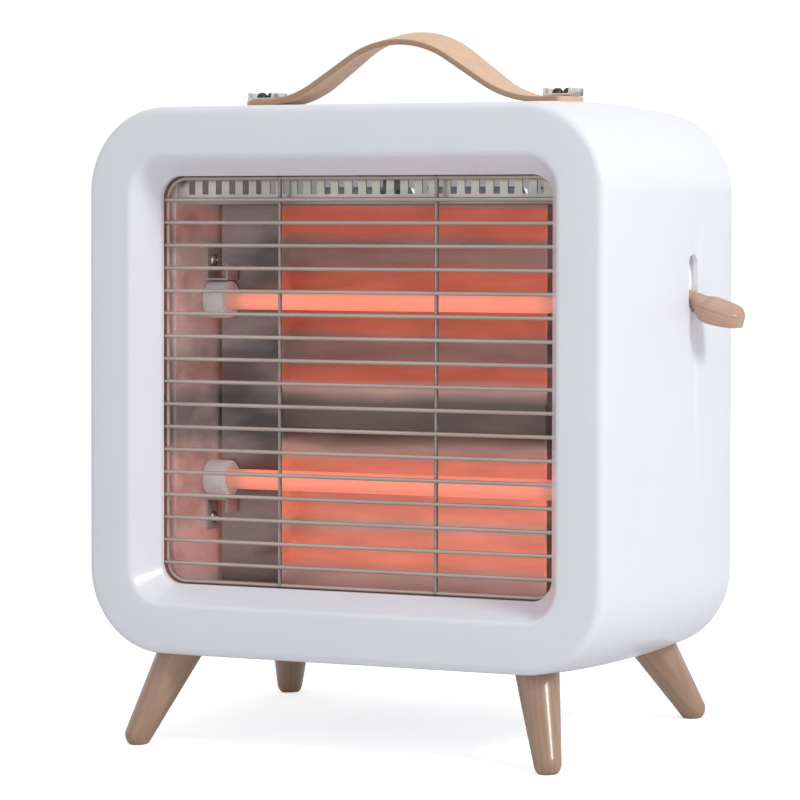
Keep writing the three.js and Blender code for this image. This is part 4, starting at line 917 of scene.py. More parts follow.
# ---------- sub-assemblies ----------
@dataclass
class Case:
    """The moulded case with its recess, and the rear cover."""

    width: float = 340
    height: float = 322
    depth: float = 180
    corner: float = 50
    crown: float = 1.9
    rear_draw: float = 2.2
    wall: float = 3
    front_edge: float = 5
    rear_edge: float = 4
    ring_width: float = 29.2
    ring_edge: float = 4
    funnel_inset: float = 11.1
    funnel_depth: float = 17.3
    lip_depth: float = 3
    lip_round: float = 1.2
    lip_wall: float = 3.4
    opening_corner: float = 13
    rim_wall: float = 6
    rim_length: float = 9
    slot_depth: float = 116.5
    slot_height: float = 59
    slot_width: float = 12
    slot_length: float = 33.2
    slot_edge: Profile = ((-14, 0), (-0.7, 0), (-0.25, 0.18), (0.01, 0.75), (3, 4))
    cover_fit: float = 0.4
    cover_recess: float = 1.2
    cover_thickness: float = 3
    post_inset: float = 26.5
    pocket_floor: float = 1.4
    pocket: Profile = ((0, -6), (2.1, -6), (2.1, 0), (5, 0), (5, 1.1), (5.5, 1.45), (5.5, 4), (0, 4))
    gland_hole: Profile = ((0, -8), (6.3, -8), (6.3, 4), (0, 4))
    gland_x: float = 66
    gland_z: float = 24
    louvre_columns: int = 3
    louvre_pitch_x: float = 78
    louvre_pitch_z: float = 11
    louvre_width: float = 66
    louvre_height: float = 5
    upper_louvres: tuple[int, float] = (5, 40)
    lower_louvres: tuple[int, float] = (4, 90)
    corner_steps: int = 20
    edge_steps: int = 7
    bays: int = 12

    def skin(self, depth: float) -> float:
        """How far the skin has closed in at a depth."""
        t = depth / self.depth
        return (2 * self.rear_draw + 4 * self.crown) * t ** 2 - (4 * self.crown + self.rear_draw) * t

    def rectangle(self, half_width: float, half_height: float, corner: float, depth: float) -> Ring:
        """A rounded rectangle in X and Z at a depth."""
        corners = box_outline(-half_width, half_width, -half_height, half_height, corner)
        return [(x, depth - self.depth / 2, z) for x, z in arc_corners(corners, self.corner_steps)]

    def ring(self, inset: float, depth: float) -> Ring:
        """The case's outline at a depth, set in by a distance."""
        corner = max(self.corner - inset, self.opening_corner)
        return self.rectangle(self.width / 2 - inset, self.height / 2 - inset, corner, depth)

    def profile(self) -> list[tuple[float, float]]:
        """(inset, depth) of the wall: skin, front ring, funnel, lip and back along the inside."""
        opening = self.ring_width + self.funnel_inset
        back = self.funnel_depth + self.lip_depth
        stations = [self.depth * k / self.bays for k in range(1, self.bays)]
        rim = self.depth - self.rim_length
        return arc_corners([
            (self.skin(self.depth), self.depth, self.rear_edge),
            *[(self.skin(d), d) for d in reversed(stations)],
            (0, 0, self.front_edge),
            (self.ring_width, 0, self.ring_edge),
            (opening, self.funnel_depth, self.lip_round),
            (opening, back),
            (opening - self.lip_wall, back),
            (self.ring_width - self.wall / 2, self.wall),
            (self.wall, self.wall, self.front_edge - self.wall),
            *[(self.wall + self.skin(d), d) for d in stations if self.wall < d < rim - self.wall],
            (self.rim_wall + self.skin(rim), rim),
            (self.rim_wall + self.skin(self.depth), self.depth)], self.edge_steps)

    def shell(self) -> bpy.types.Mesh:
        """The housing with the lever's slot, whose edges are broken."""
        body = Form().loft([self.ring(inset, depth) for inset, depth in self.profile()], closed=True).mesh("housing")
        half, r = self.slot_length / 2, self.slot_width / 2
        y = self.slot_depth - self.depth / 2
        rings = []
        side = self.width / 2 - self.skin(self.slot_depth)
        for x, grow in ((side + out, grow) for out, grow in self.slot_edge):
            low, high = self.slot_height - half - grow, self.slot_height + half + grow
            outline = arc_corners(box_outline(y - r - grow, y + r + grow, low, high, r + grow - 0.01), 10)
            rings.append([(x, a, b) for a, b in outline])
        return carved("housing", body, [Form().loft(rings).mesh("slot")])

    def cover(self, finish: bpy.types.Material) -> bpy.types.Mesh:
        """The rear cover: a panel with louvres, screw pockets and a hole for the cord bushing."""
        inset = self.rim_wall + self.skin(self.depth) + self.cover_fit
        half_w, half_h = self.width / 2 - inset, self.height / 2 - inset
        back = self.depth - self.cover_recess
        rings = [self.rectangle(half_w - cut, half_h - cut, self.corner - inset - cut, depth)
                 for cut, depth in ((0, back - self.cover_thickness), (0, back - 0.8), (0.25, back - 0.25),
                                    (0.8, back))]
        panel = Form().loft(rings).mesh("cover")
        post_x, post_z = self.width / 2 - self.post_inset, self.height / 2 - self.post_inset
        pockets = []
        for sx in (-1, 1):
            for sz in (-1, 1):
                place = aim((sx * post_x, back - self.pocket_floor - self.depth / 2, sz * post_z), (0, 1, 0))
                pockets.append(Form().turned(self.pocket, place, 32).mesh("pocket"))
        gland = aim((self.gland_x - half_w, back - self.depth / 2, self.gland_z - half_h), (0, 1, 0))
        pockets.append(Form().turned(self.gland_hole, gland, 32).mesh("gland"))
        panel = carved("cover", panel, pockets)
        tree = slot_tree()
        after = back - self.depth / 2 + 4
        common = {"Columns": self.louvre_columns, "Pitch X": self.louvre_pitch_x, "Pitch Z": -self.louvre_pitch_z,
                  "Width": self.louvre_width, "Height": self.louvre_height, "Round": self.louvre_height / 2 - 0.01,
                  "Vanes": True}
        left = -self.louvre_pitch_x * (self.louvre_columns - 1) / 2
        rows_up, down = self.upper_louvres
        rows_low, up = self.lower_louvres
        for rows, first in ((rows_up, half_h - down), (rows_low, up - half_h)):
            panel = tree.run("cover", finish, dict(common, Rows=rows, First=(left, after, first)), panel)
        return panel

    def build(self, looks: Finishes) -> None:
        """Makes the housing and its rear cover."""
        settle("housing", self.shell(), looks.plastic, ["front_housing"], 28)
        settle("back_panel", self.cover(looks.cover), looks.cover, ["rear_cover"])


@dataclass
class Guard:
    """The wire guard in the recess."""

    half_width: float = 129.5
    half_height: float = 119.6
    corner: float = 13
    wire: float = 1.2
    border: float = 1.6
    rows: int = 17
    pitch: float = 13.45
    top_gap: float = 12.8
    upright_x: float = 52
    row_depth: float = 21.9
    weld: float = 0.15

    def build(self, looks: Finishes, case: Case) -> None:
        """Makes the guard."""
        at = lambda depth: depth - case.depth / 2
        values = {
            "Half Width": self.half_width, "Half Height": self.half_height, "Corner": self.corner,
            "Wire Radius": self.wire, "Frame Radius": self.border, "Rows": self.rows, "Pitch": self.pitch,
            "Top Row": self.half_height - self.top_gap, "Upright X": self.upright_x, "Row Depth": at(self.row_depth),
            "Upright Depth": at(self.row_depth + 2 * self.wire - self.weld),
            "Frame Depth": at(self.row_depth + self.wire + self.border - self.weld)}
        mesh = guard_tree().run("guard", looks.wire, values)
        settle("wire_guard", mesh, looks.wire, ["grille"], 40)


@dataclass
class Chamber:
    """The hot chamber: troughs, vent strip, tubes in their ceramics."""

    inner_x: float = 125.5
    top: float = 104
    bottom: float = -126
    plate_top: float = 123
    upper_tube: float = 47.3
    lower_tube: float = -60.7
    tube_y: float = -23
    tube_radius: float = 6
    tube_wall: float = 0.9
    tube_half: float = 120.9
    holder_radius: float = 11.25
    holder_outer: float = 125.2
    holder_length: float = 14
    trough_half: float = 89.7
    trough_depth: float = 18
    upper_bottom: float = -8
    lower_top: float = -30
    land: float = 1.5
    sheet: float = 1
    trough_steps: int = 36
    tube_soft: float = 0.3
    holder_edge: float = 1.1
    holder_soft: float = 0.3
    socket_gap: float = 0.3
    socket_depth: float = 10
    wire_hole: float = 2.5
    strip_y: float = -60.5
    strip_gap: float = 0.3
    strip_low: float = 2
    strip_slots: int = 26
    slot_pitch: float = 9.25
    slot_width: float = 4.2
    slot_height: float = 9.4
    slot_round: float = 0.7
    slot_drop: float = 8.4
    coil_half: float = 113
    coil_turns: float = 94

    def trough(self, name: str, bottom: float, top: float, reach: float) -> bpy.types.Mesh:
        """A pressed trough with closed ends between two heights; its lower edge runs down flat to a reach."""
        rise = (top - bottom) / 2 - self.land
        line = [(0.0, reach)]
        for k in range(self.trough_steps + 1):
            s = 2 * k / self.trough_steps - 1
            line.append((self.trough_depth * (1 - s * s), bottom + self.land + rise * (s + 1)))
        line.append((0.0, top))
        back = [(y + self.sheet, z) for y, z in reversed(line)]
        half, form = self.trough_half, Form()
        form.loft([[(x, y, z) for y, z in line + back] for x in (-half, 0.3 - half, half - 0.3, half)])
        for sx in (-1, 1):
            form.loft([[(sx * x, y - 0.02, z) for y, z in line] for x in (half - self.sheet, half - 0.05)])
        return form.mesh(name)

    def holder(self, sx: int, z: float) -> bpy.types.Mesh:
        """A ceramic tube holder with a stepped socket that opens to the middle."""
        outer, inner, step = self.holder_outer, self.holder_outer - self.holder_length, self.socket_depth
        socket, r = self.tube_radius + self.socket_gap, self.holder_radius
        edge, soft = self.holder_edge, self.holder_soft
        profile = [(socket, inner + 0.5), (socket + 0.5, inner), (r - edge, inner), (r - soft, inner + soft),
                   (r, inner + edge), (r, outer - edge), (r - soft, outer - soft), (r - edge, outer),
                   (self.wire_hole, outer), (self.wire_hole, inner + step), (socket, inner + step),
                   (socket, inner + 0.5)]
        return Form().turned(profile, aim((0, self.tube_y, z), (sx, 0, 0)), 56).mesh("holder")

    def sleeve(self, z: float) -> bpy.types.Mesh:
        """A quartz tube with fire-rounded ends."""
        inner, outer, half, soft = self.tube_radius - self.tube_wall, self.tube_radius, self.tube_half, self.tube_soft
        end = [(inner, half - soft), (inner + soft, half), (outer - soft, half), (outer, half - soft)]
        profile = [(r, -along) for r, along in end] + [(outer, half * k / 4) for k in range(-3, 4)]
        profile += end[::-1] + [(inner, soft - half)]
        return Form().turned(profile, aim((0, self.tube_y, z), (1, 0, 0)), 40).mesh("sleeve")

    def vent(self, looks: Finishes) -> bpy.types.Mesh:
        """The slotted strip over the tubes."""
        half = self.inner_x - self.strip_gap
        outline = arc_corners(box_outline(-half, half, self.top + self.strip_low, self.plate_top, 0.4), 2)
        plate = slab(outline, 0, self.sheet, 0.2, lambda x, z, h: (x, self.strip_y + h, z)).mesh("vent")
        first = (-(self.strip_slots - 1) / 2 * self.slot_pitch, self.strip_y + 3.5, self.plate_top - self.slot_drop)
        values = {"Columns": self.strip_slots, "Rows": 1, "Pitch X": self.slot_pitch, "First": first,
                  "Width": self.slot_width, "Height": self.slot_height, "Round": self.slot_round, "Through": 8}
        return slot_tree().run("vent", looks.strip, values, plate)

    def build(self, looks: Finishes) -> None:
        """Makes the chamber's pieces."""
        for level, bottom, top, reach in (("upper", self.upper_bottom, self.top, self.lower_top + 0.3),
                                          ("lower", self.bottom, self.lower_top, self.bottom)):
            mesh = self.trough(f"trough_{level}", bottom, top, reach)
            settle(f"trough_{level}", mesh, looks.trough, [f"reflector_{level}"], 30)
        settle("vent_strip_slotted", self.vent(looks), looks.strip, ["vent_strip"])
        coil = coil_tree()
        for level, z in (("upper", self.upper_tube), ("lower", self.lower_tube)):
            settle(f"sleeve_{level}", self.sleeve(z), looks.quartz, [f"quartz_tube_{level}"])
            mesh = coil.run(f"coil_{level}", looks.coil, {"Half Length": self.coil_half, "Turns": self.coil_turns})
            settle(f"coil_{level}", mesh, looks.coil, [f"filament_{level}"],
                   matrix=STANCE.matrix @ Matrix.Translation((0, self.tube_y, z)))
            for side, sx in SIDES:
                settle(f"ceramic_{level}_{side}", self.holder(sx, z), looks.ceramic, [f"tube_holder_{level}_{side}"])


@dataclass
class Legs:
    """Four turned legs with ball ends, ground flat on the floor."""

    gap: float = 0.12
    top_radius: float = 12.7
    ball: float = 8
    cut: float = 2.3
    front: tuple[float, float, float, float] = (119, 69, 16.6, 22.9)
    rear: tuple[float, float, float, float] = (126, 74, 13.7, 19.3)
    sides: int = 56
    rows: int = 14
    ball_steps: int = 8
    halvings: int = 30

    def leg(self, case: Case, sx: int, sy: int) -> bpy.types.Mesh:
        """One leg in floor coordinates, shaped to the case's underside, with its grain stored."""
        x, y, out_x, out_y = self.front if sy < 0 else self.rear
        stand = Matrix.Translation((0, 0, STANCE.middle)) @ Matrix.Rotation(-STANCE.lean, 4, "X")
        upright = stand.inverted()
        top = stand @ Vector((sx * x, sy * y, -case.height / 2))
        ball = Vector((top.x + sx * out_x, top.y + sy * out_y, self.ball - self.cut))
        reach = (top - ball).length
        place = aim(tuple(ball), tuple(top - ball))
        slope = (self.top_radius - self.ball) / reach

        def room(at: Vector) -> float:
            """Distance below the case's underside, with its round corner."""
            p = upright @ at
            radius = case.corner - case.skin(p.y + case.depth / 2)
            beyond = max(abs(p.x) - case.width / 2 + case.corner, 0.0)
            return case.corner - case.height / 2 - math.sqrt(max(radius ** 2 - beyond ** 2, 0.0)) - self.gap - p.z

        angles = [2 * math.pi * i / self.sides for i in range(self.sides)]
        rings: list[Ring] = []
        for k in range(self.ball_steps + 1):
            angle = (k / self.ball_steps - 1) * math.pi / 2
            r, along = max(self.ball * math.cos(angle), 1e-3), self.ball * math.sin(angle)
            rings.append([around(place, r, a, along) for a in angles])
        ends = []
        for a in angles:
            low, high = reach * 0.5, reach + self.top_radius
            for _ in range(self.halvings):
                along = (low + high) / 2
                if room(Vector(around(place, self.ball + slope * along, a, along))) > 0:
                    low = along
                else:
                    high = along
            ends.append(low)
        for k in range(1, self.rows + 1):
            part = k / self.rows
            rings.append([around(place, self.ball + slope * e * part, a, e * part) for a, e in zip(angles, ends)])
        rings = [[(px, py, max(pz, 0.0)) for px, py, pz in ring] for ring in rings]
        mesh = Form().loft(rings).mesh("leg")
        local = place.inverted()
        offset = Vector((sx * 300.0, sy * 170.0, sx * 90.0))  # gives each leg its own grain
        store_grain(mesh, [local @ vertex.co + offset for vertex in mesh.vertices])
        return mesh

    def build(self, looks: Finishes, case: Case) -> None:
        """Makes the legs."""
        for end, sy in (("front", -1), ("rear", 1)):
            for side, sx in SIDES:
                settle(f"turned_leg_{end}_{side}", self.leg(case, sx, sy), looks.wood, [f"leg_{end}_{side}"],
                       50, STANCE.floor_matrix)


def store_grain(mesh: bpy.types.Mesh, places: Sequence[Vector]) -> None:
    """Stores a place in millimetres for each vertex, for the pattern that follows the piece."""
    layer = mesh.attributes.new("grain", "FLOAT_VECTOR", "POINT")
    for place, entry in zip(places, layer.data):
        entry.vector = place * MM


@dataclass
class Strap:
    """The leather strap with its chrome plates."""

    width: float = 30
    thickness: float = 3.4
    edge: float = 0.8
    corner: float = 8
    length: float = 217
    foot_x: float = 94
    shift: float = -2.5
    rise: float = 37.5
    lean: float = 5.4
    crown: float = 60
    toe: float = 66
    plate_x: float = 99.7
    plate_width: float = 16
    plate_thickness: float = 1.5
    tray_length: float = 18.6
    tray_height: float = 4.6
    tray_end: float = 0.965
    gap: float = 0.3
    bow: float = 0.12
    arc_steps: int = 18
    flank_steps: int = 6
    end_steps: int = 8

    def line(self) -> list[tuple[float, float, float, float]]:
        """Middle line from the left end to the right: x, height, slope angle and narrowing."""
        both = self.crown + self.toe
        flank = math.sqrt(self.foot_x ** 2 + self.rise ** 2 - 2 * self.rise * both)
        angle = math.atan2(self.rise - both, self.foot_x) + math.atan2(both, flank)
        half = []
        turns = [angle * k / self.arc_steps for k in range(self.arc_steps + 1)]
        for a in turns:
            half.append((self.crown * math.sin(a), self.rise - self.crown * (1 - math.cos(a)), a))
        x0, z0 = half[-1][0], half[-1][1]
        for k in range(1, self.flank_steps):
            half.append((x0 + flank * math.cos(angle) * k / self.flank_steps,
                         z0 - flank * math.sin(angle) * k / self.flank_steps, angle))
        for a in reversed(turns):
            half.append((self.foot_x - self.toe * math.sin(a), self.toe * (1 - math.cos(a)), a))
        end = []
        for k in range(self.end_steps + 1):
            a = k / self.end_steps * math.pi / 2
            end.append((self.length / 2 - self.corner * (1 - math.sin(a)), 0.0, 0.0, self.corner * (1 - math.cos(a))))
        left = [(-x, z, -a, n) for x, z, a, n in reversed(end)]
        left += [(self.shift - x, z, -a, 0.0) for x, z, a in reversed(half[1:])]
        return left + [(self.shift + x, z, a, 0.0) for x, z, a in half] + end

    def leather(self, base: float) -> bpy.types.Mesh:
        """The strap, with distances along and across it stored for its skin."""
        t, soft = self.thickness / 2, self.edge
        rings, grain, run, last = [], [], 0.0, None
        for x, z, a, narrower in self.line():
            run += 0.0 if last is None else math.hypot(x - last[0], z - last[1])
            last = (x, z)
            w = self.width / 2 - narrower
            lean = math.asin(self.lean / self.width) * z / self.rise
            along = Vector((math.cos(a), 0, -math.sin(a)))
            tilt = Matrix.Rotation(lean, 3, along)
            across, up = tilt @ Vector((0, 1, 0)), tilt @ Vector((math.sin(a), 0, math.cos(a)))
            centre = Vector((x, 0, base + t + z))
            section = arc_corners(box_outline(-w, w, -t, t, soft), 4)
            bowed = [(y, n + self.bow * (1 - (y / max(w, 1)) ** 2) * (1 if n > 0 else 0)) for y, n in section]
            rings.append([tuple(centre + across * y + up * n) for y, n in bowed])
            grain.extend(Vector((run, y, n)) for y, n in bowed)
        mesh = Form().loft(rings).mesh("leather", merged=False)
        store_grain(mesh, grain)
        return mesh

    def build(self, looks: Finishes, case: Case) -> float:
        """Makes the strap and its plates, and returns the height of the plates' tops."""
        base = case.height / 2 - case.skin(case.depth / 2 - self.width / 2) + self.gap
        settle("strap_leather", self.leather(base), looks.leather, ["handle_strap"], 60)
        low = base + self.thickness + self.gap
        for side, sx in SIDES:
            settle(f"strap_tray_{side}", self.tray(sx * self.plate_x, low), looks.chrome, [f"strap_plate_{side}"],
                   50)
        return low + self.plate_thickness

    def tray(self, x: float, low: float) -> bpy.types.Mesh:
        """A chrome plate whose ends are turned up beside the screws."""
        l, w, t, top = self.tray_length / 2, self.plate_width / 2, self.plate_thickness, self.tray_height
        wall = l - t - 0.2
        outline = arc_corners([(-l, 0, 0.5), (l, 0, 0.5), (l, top, 0.75), (wall, top, 0.75), (wall, t, 0.8),
                               (-wall, t, 0.8), (-wall, top, 0.75), (-l, top, 0.75)], 5)
        rings = []
        for y, size in ((-w, self.tray_end), (0.3 - w, 1), (w - 0.3, 1), (w, self.tray_end)):
            rings.append([(x + px * size, y, low + top / 2 + (pz - top / 2) * size) for px, pz in outline])
        return Form().loft(rings).mesh("tray")


@dataclass
class Screws:
    """Domed screws with a cross recess, set on points by one tree."""

    tree: Tree = field(default_factory=screw_tree)
    strap_head: tuple[float, float] = (3.2, 3.3)
    bracket_head: tuple[float, float] = (3.6, 2.2)
    strap_spread: float = 3.5
    side_sheet: float = 0.6
    bracket_sheet: float = 1.2
    bracket_gap: float = 0.3
    bracket_rise: float = 12

    @staticmethod
    def head(radius: float, height: float) -> bpy.types.Mesh:
        """A screw head that stands on Z = 0, with its cross recess and a stub of shank."""
        profile = [(0, -2.2), (radius * 0.42, -2.2), (radius * 0.45, 0), (radius * 0.96, 0), (radius, height * 0.08)]
        for k in range(1, 11):
            a = math.pi / 2 * k / 10
            profile.append((radius * math.cos(a) ** 0.8 if k < 10 else 0, height * (0.1 + 0.9 * math.sin(a))))
        dome = Form().turned(profile, Matrix.Identity(4), 40).mesh("head")
        cuts = []
        for long, wide in ((0.58, 0.12), (0.12, 0.58)):
            x, y = radius * long, radius * wide
            rings = [[(-x * s, -y * s, z), (x * s, -y * s, z), (x * s, y * s, z), (-x * s, y * s, z)]
                     for s, z in ((0.72, height * 0.5), (1.0, height * 1.1))]
            cuts.append(Form().loft(rings).mesh("cross"))
        return carved("head", dome, cuts)

    def build(self, name: str, nodes: Sequence[str], points: Sequence[Point], axis: Point, radius: float,
              height: float, finish: bpy.types.Material, slot: str, seed: int) -> None:
        """Makes one set of screws.

        Args:
            name: the piece's name.
            nodes: the CAD screws that it stands for.
            points: where the heads sit, in the upright case.
            axis: where they point.
            radius: of the heads.
            height: of the heads.
            finish: their material.
            slot: not used.
            seed: of their turns.
        """
        shape = linked("screw_shape", self.head(radius, height))
        places = bpy.data.meshes.new(name)
        places.from_pydata([tuple(p) for p in points], [], [])
        mesh = self.tree.run(name, finish, {"Shape": shape, "Axis": axis, "Seed": seed}, places)
        bpy.data.objects.remove(shape)
        settle(name, mesh, finish, nodes, 40)

    def on_strap(self, looks: Finishes, plate_x: float, seat: float) -> None:
        """Makes the two dark screws of each strap plate, whose tops are at a height."""
        xs = [sx * (plate_x + k * sx * self.strap_spread) for sx in (-1, 1) for k in (-1, 1)]
        self.build("strap_screw_set", [f"strap_screw_{i}" for i in range(1, 5)], [(x, 0.0, seat + 0.1) for x in xs],
                   (0.0, 0.0, 1.0), *self.strap_head, looks.dark, "dark_screw", 3)

    def on_brackets(self, looks: Finishes, chamber: Chamber) -> None:
        """Makes the chrome screws of the holder brackets on each side."""
        x = chamber.inner_x - self.side_sheet - self.bracket_sheet
        away = chamber.holder_radius + self.bracket_gap + self.bracket_rise
        heights = (chamber.upper_tube + away, chamber.lower_tube - away)
        for (side, sx), seed in zip(SIDES, (5, 6)):
            self.build(f"bracket_screw_set_{side}", [f"bracket_screw_upper_{side}", f"bracket_screw_lower_{side}"],
                       [(sx * x, chamber.tube_y, z) for z in heights], (-float(sx), 0.0, 0.0), *self.bracket_head,
                       looks.chrome, "chrome", seed)


@dataclass
class Lever:
    """The wooden grip of the lever switch, and the dust shutter that it carries behind its slot."""

    pivot: Point = (134.0, 26.5, 59.0)
    rest: float = 15
    start: float = 28
    shoulder: float = 38.6
    widest: float = 53
    round_from: float = 60.5
    end: float = 70.6
    neck: float = 5.1
    half_width: float = 9.6
    half_thickness: float = 8.0
    tip_thickness: float = 6.2
    drop: float = 2.0
    bevel_tilt: float = math.radians(52)
    crispness: int = 14
    groove: float = 0.8
    edge: float = 1.8
    around: int = 80
    steps: int = 48
    edge_steps: int = 6
    shutter_steps: int = 16
    shutter_radius: float = 32.2
    shutter_sheet: float = 0.8
    shutter_near: float = 7.6
    shutter_far: float = 13.5
    shutter_reach: float = math.radians(44)

    def ring(self, x: float, width: float, thick: float, paddle: float) -> Ring:
        """A section that turns from round to a block with bevelled upper edges.

        Args:
            x: where it is along the grip.
            width: half of its width.
            thick: half of its thickness.
            paddle: 0 for the round neck and 1 for the paddle.
        Returns:
            The section's points.
        """
        tilt = self.bevel_tilt
        slope = width * math.cos(tilt) + 0.2 * thick * math.sin(tilt)
        sides = ((1, 0, width), (-1, 0, width), (0, -1, thick), (0, 1, thick),
                 (math.cos(tilt), math.sin(tilt), slope), (-math.cos(tilt), math.sin(tilt), slope))
        made = []
        for i in range(self.around):
            a = 2 * math.pi * i / self.around
            c, s = math.cos(a), math.sin(a)
            total = sum((max(c * ny + s * nz, 0) / d) ** self.crispness for ny, nz, d in sides)
            block = total ** (-1 / self.crispness)
            plain = 1 / math.hypot(c / width, s / thick)
            r = plain + (block - plain) * paddle
            made.append((x, r * c, r * s - self.drop * paddle))
        return made

    def sizes(self, x: float) -> tuple[float, float, float]:
        """Half width, half thickness and paddle share at a place along the grip."""
        t = min(max((x - self.shoulder) / (self.widest - self.shoulder), 0), 1)
        s = t * t * (3 - 2 * t)
        fall = min(max((x - self.widest) / (self.end - self.widest), 0), 1)
        turn = min(max((x - self.round_from) / (self.end + 0.8 - self.round_from), 0), 1)
        width = self.neck + (self.half_width - self.neck) * s
        width *= 0.36 + 0.64 * math.sqrt(1 - turn ** 2.2)
        thick = self.neck + (self.half_thickness - self.neck) * s
        thick -= (self.half_thickness - self.tip_thickness) * fall ** 1.6
        return width, thick, min(1.6 * s, 1)

    def grip(self) -> bpy.types.Mesh:
        """The grip along X from the pivot."""
        rings = []
        for x, cut in ((self.start, 0.5), (self.start + 0.5, 0), (self.shoulder - 1.2, 0),
                       (self.shoulder - 0.6, self.groove), (self.shoulder - 0.2, self.groove)):
            rings.append(self.ring(x, self.neck - cut, self.neck - cut, 0))
        last = self.end - self.edge
        for k in range(self.steps + 1):
            x = self.shoulder + (last - self.shoulder) * math.sin(k / self.steps * math.pi / 2) ** 1.1
            rings.append(self.ring(x, *self.sizes(x)))
        for k in range(1, self.edge_steps + 1):
            a = k / self.edge_steps * math.pi / 2
            x, cut = last + self.edge * math.sin(a), self.edge * (1 - math.cos(a))
            width, thick, paddle = self.sizes(x)
            rings.append(self.ring(x, max(width - cut, 0.4), max(thick - cut, 0.4), paddle))
        mesh = Form().loft(rings).mesh("grip")
        store_grain(mesh, [Vector((v.co.z + 40, v.co.y + 15, v.co.x)) for v in mesh.vertices])
        return mesh

    def shutter(self) -> bpy.types.Mesh:
        """A curved strip about the pivot that closes the slot."""
        inner, outer = self.shutter_radius, self.shutter_radius + self.shutter_sheet
        rings = []
        for k in range(2 * self.shutter_steps + 1):
            a = self.shutter_reach * (k / self.shutter_steps - 1)
            near, far = -self.shutter_near, self.shutter_far
            corners = ((inner, near), (outer, near), (outer, far), (inner, far))
            rings.append([(r * math.cos(a), y, r * math.sin(a)) for r, y in corners])
        return Form().loft(rings).mesh("shutter")

    def build(self, looks: Finishes) -> None:
        """Makes the grip and the shutter on the lever's body."""
        place = STANCE.matrix @ Matrix.Translation(self.pivot) @ Matrix.Rotation(math.radians(self.rest), 4, "Y")
        settle("lever_paddle", self.grip(), looks.grip_wood, ["lever_grip"], 60, place, Body.LEVER)
        # The shutter's material glows with painted light so that the slot looks pale.
        settle("slot_shutter", self.shutter(), looks.shutter, [], 35, place, Body.LEVER)


class Dressing:
    """Better materials for the CAD nodes whose shapes are kept."""

    def __init__(self, looks: Finishes) -> None:
        """Pairs the starts of node names with finishes."""
        self.table = (
            ("side_plate", looks.side), ("end_cheek", looks.cheek), ("holder_bracket", looks.galvanised),
            ("heat_shield", looks.galvanised), ("ceiling_plate", looks.galvanised), ("floor_plate", looks.galvanised),
            ("thermal_cutout", looks.steel), ("leg_stud", looks.steel), ("switch_shaft", looks.steel),
            ("switch_body", looks.black), ("lever_arm", looks.black), ("tilt_switch", looks.black),
            ("cord_gland", looks.black), ("chassis_screw", looks.steel), ("cover_screw", looks.steel))

    def apply(self) -> None:
        """Gives each kept node its finish."""
        for name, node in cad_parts.items():
            for start, finish in self.table:
                if name.startswith(start):
                    for place in node.material_slots:
                        place.material = finish
                    LOG.info("node %s: %s", name, finish.name)


# ---------- camera, floor and light ----------
@dataclass(frozen=True)
class Lamp:
    """A square soft lamp that faces the middle of the heater."""

    name: str
    place: Point
    size: float
    power: float
    target: Point = (0, 0, 0.2)

    def build(self) -> None:
        """Hangs the lamp."""
        data = bpy.data.lights.new(self.name, "AREA")
        data.shape, data.size, data.energy = "SQUARE", self.size, self.power
        aimed = (Vector(self.target) - Vector(self.place)).to_track_quat("-Z", "Y").to_matrix().to_4x4()
        linked(self.name, data).matrix_world = Matrix.Translation(self.place) @ aimed


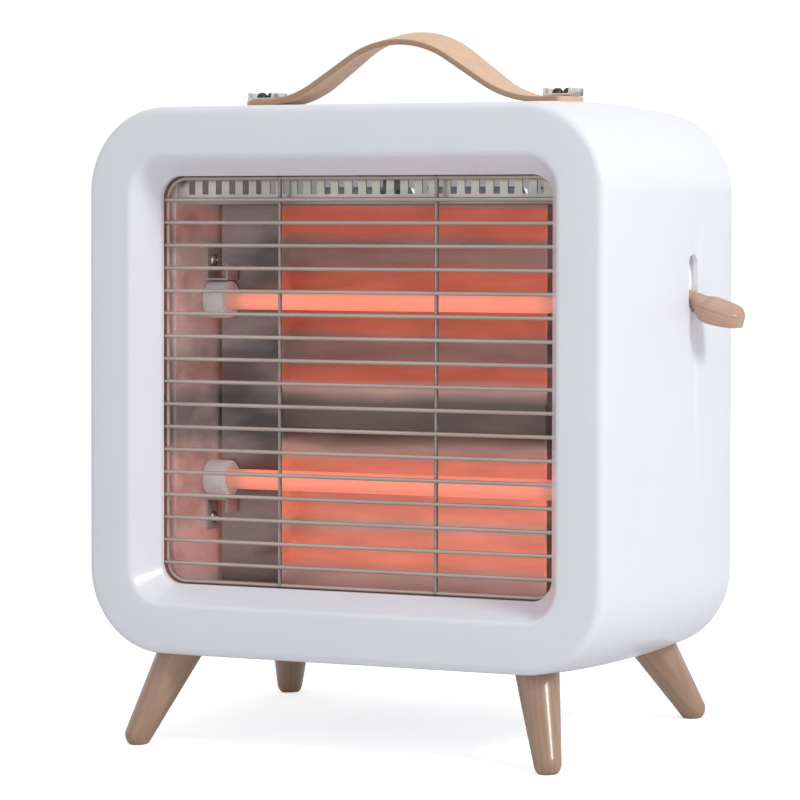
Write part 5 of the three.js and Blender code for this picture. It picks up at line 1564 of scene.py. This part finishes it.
@dataclass(frozen=True)
class Studio:
    """The photograph's viewpoint, a pale floor and soft light."""

    azimuth: float = math.radians(28.63)
    elevation: float = math.radians(2.13)
    distance: float = 2420
    focal: float = 4076
    centre: tuple[float, float] = (411.8, 380.3)
    roll: float = math.radians(0.11)
    picture: float = 800
    sensor: float = 36
    floor_half: float = 14
    floor_tone: Colour = srgb(238, 238, 238)
    floor_lift: float = 0.6
    surround: float = 0.565
    lamps: tuple[Lamp, ...] = (Lamp("side_lamp", (1.95, -0.5, 1.5), 0.5, 24.0),
                               Lamp("top_lamp", (-0.3, -0.2, 2.6), 1.4, 4.0))

    def camera(self) -> None:
        """Sets the camera, whose place was measured against the upright case."""
        a, e, r = self.azimuth, self.elevation, self.roll
        back = Vector((math.sin(a) * math.cos(e), -math.cos(a) * math.cos(e), math.sin(e)))
        right = Vector((math.cos(a), math.sin(a), 0))
        up = back.cross(right)
        side = right * math.cos(r) + up * math.sin(r)
        rise = up * math.cos(r) - right * math.sin(r)
        turn = Matrix((side, rise, back)).transposed().to_4x4()
        lean = Matrix.Rotation(-STANCE.lean, 4, "X")
        data = bpy.data.cameras.new("camera")
        data.sensor_width = self.sensor
        data.lens = self.focal * self.sensor / self.picture
        data.shift_x = (self.picture / 2 - self.centre[0]) / self.picture
        data.shift_y = (self.centre[1] - self.picture / 2) / self.picture
        data.clip_end = 100
        camera = linked("camera", data)
        camera.matrix_world = Matrix.Translation(STANCE.matrix @ (back * self.distance)) @ lean @ turn
        bpy.context.scene.camera = camera

    def floor(self) -> None:
        """A wide pale floor that looks white to the camera and keeps the object's shadow."""
        mesh = bpy.data.meshes.new("floor")
        half = self.floor_half
        mesh.from_pydata([(-half, -half, 0), (half, -half, 0), (half, half, 0), (-half, half, 0)], [], [(0, 1, 2, 3)])
        floor = linked("floor", mesh)
        coat = Coat("pale_floor", Coordinates.OBJECT).fix(Base_Color=(*self.floor_tone, 1.0), Roughness=0.9,
                                                          Specular_IOR_Level=0.1, Emission_Color=WHITE4)
        lift = coat.math("MULTIPLY", coat.node("LightPath").outputs["Is Camera Ray"], self.floor_lift)
        coat.tree.links.new(lift, coat.shader.inputs["Emission Strength"])
        mesh.materials.append(coat.material)

    def light(self) -> None:
        """A bright surround, one lamp at the lever's side and a faint one above."""
        world = bpy.data.worlds.new("surround")
        bpy.context.scene.world = world
        world.use_nodes = True
        air = Nodes(world.node_tree)
        ground = air.tree.nodes["Background"]
        path = air.node("LightPath")
        seen = air.math("MAXIMUM", path.outputs["Is Camera Ray"], path.outputs["Is Transmission Ray"])
        seen = air.math("MAXIMUM", seen, path.outputs["Is Glossy Ray"])
        air.tree.links.new(air.spread(seen, self.surround, 1.0, 0.0, 1.0), ground.inputs["Strength"])
        ground.inputs["Color"].default_value = WHITE4
        for lamp in self.lamps:
            lamp.build()

    def build(self) -> None:
        """Sets the whole stage."""
        self.camera()
        self.floor()
        self.light()
        bpy.context.scene.view_settings.view_transform = "Standard"


def main() -> None:
    """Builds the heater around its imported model."""
    logging.basicConfig(level=logging.INFO, format="%(message)s")
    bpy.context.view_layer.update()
    Studio().build()
    looks, case, chamber, strap = Finishes(), Case(), Chamber(), Strap()
    case.build(looks)
    Guard().build(looks, case)
    chamber.build(looks)
    Legs().build(looks, case)
    seat = strap.build(looks, case)
    screws = Screws()
    screws.on_strap(looks, strap.plate_x, seat)
    screws.on_brackets(looks, chamber)
    Lever().build(looks)
    Dressing(looks).apply()


if __name__ == "__main__":
    main()
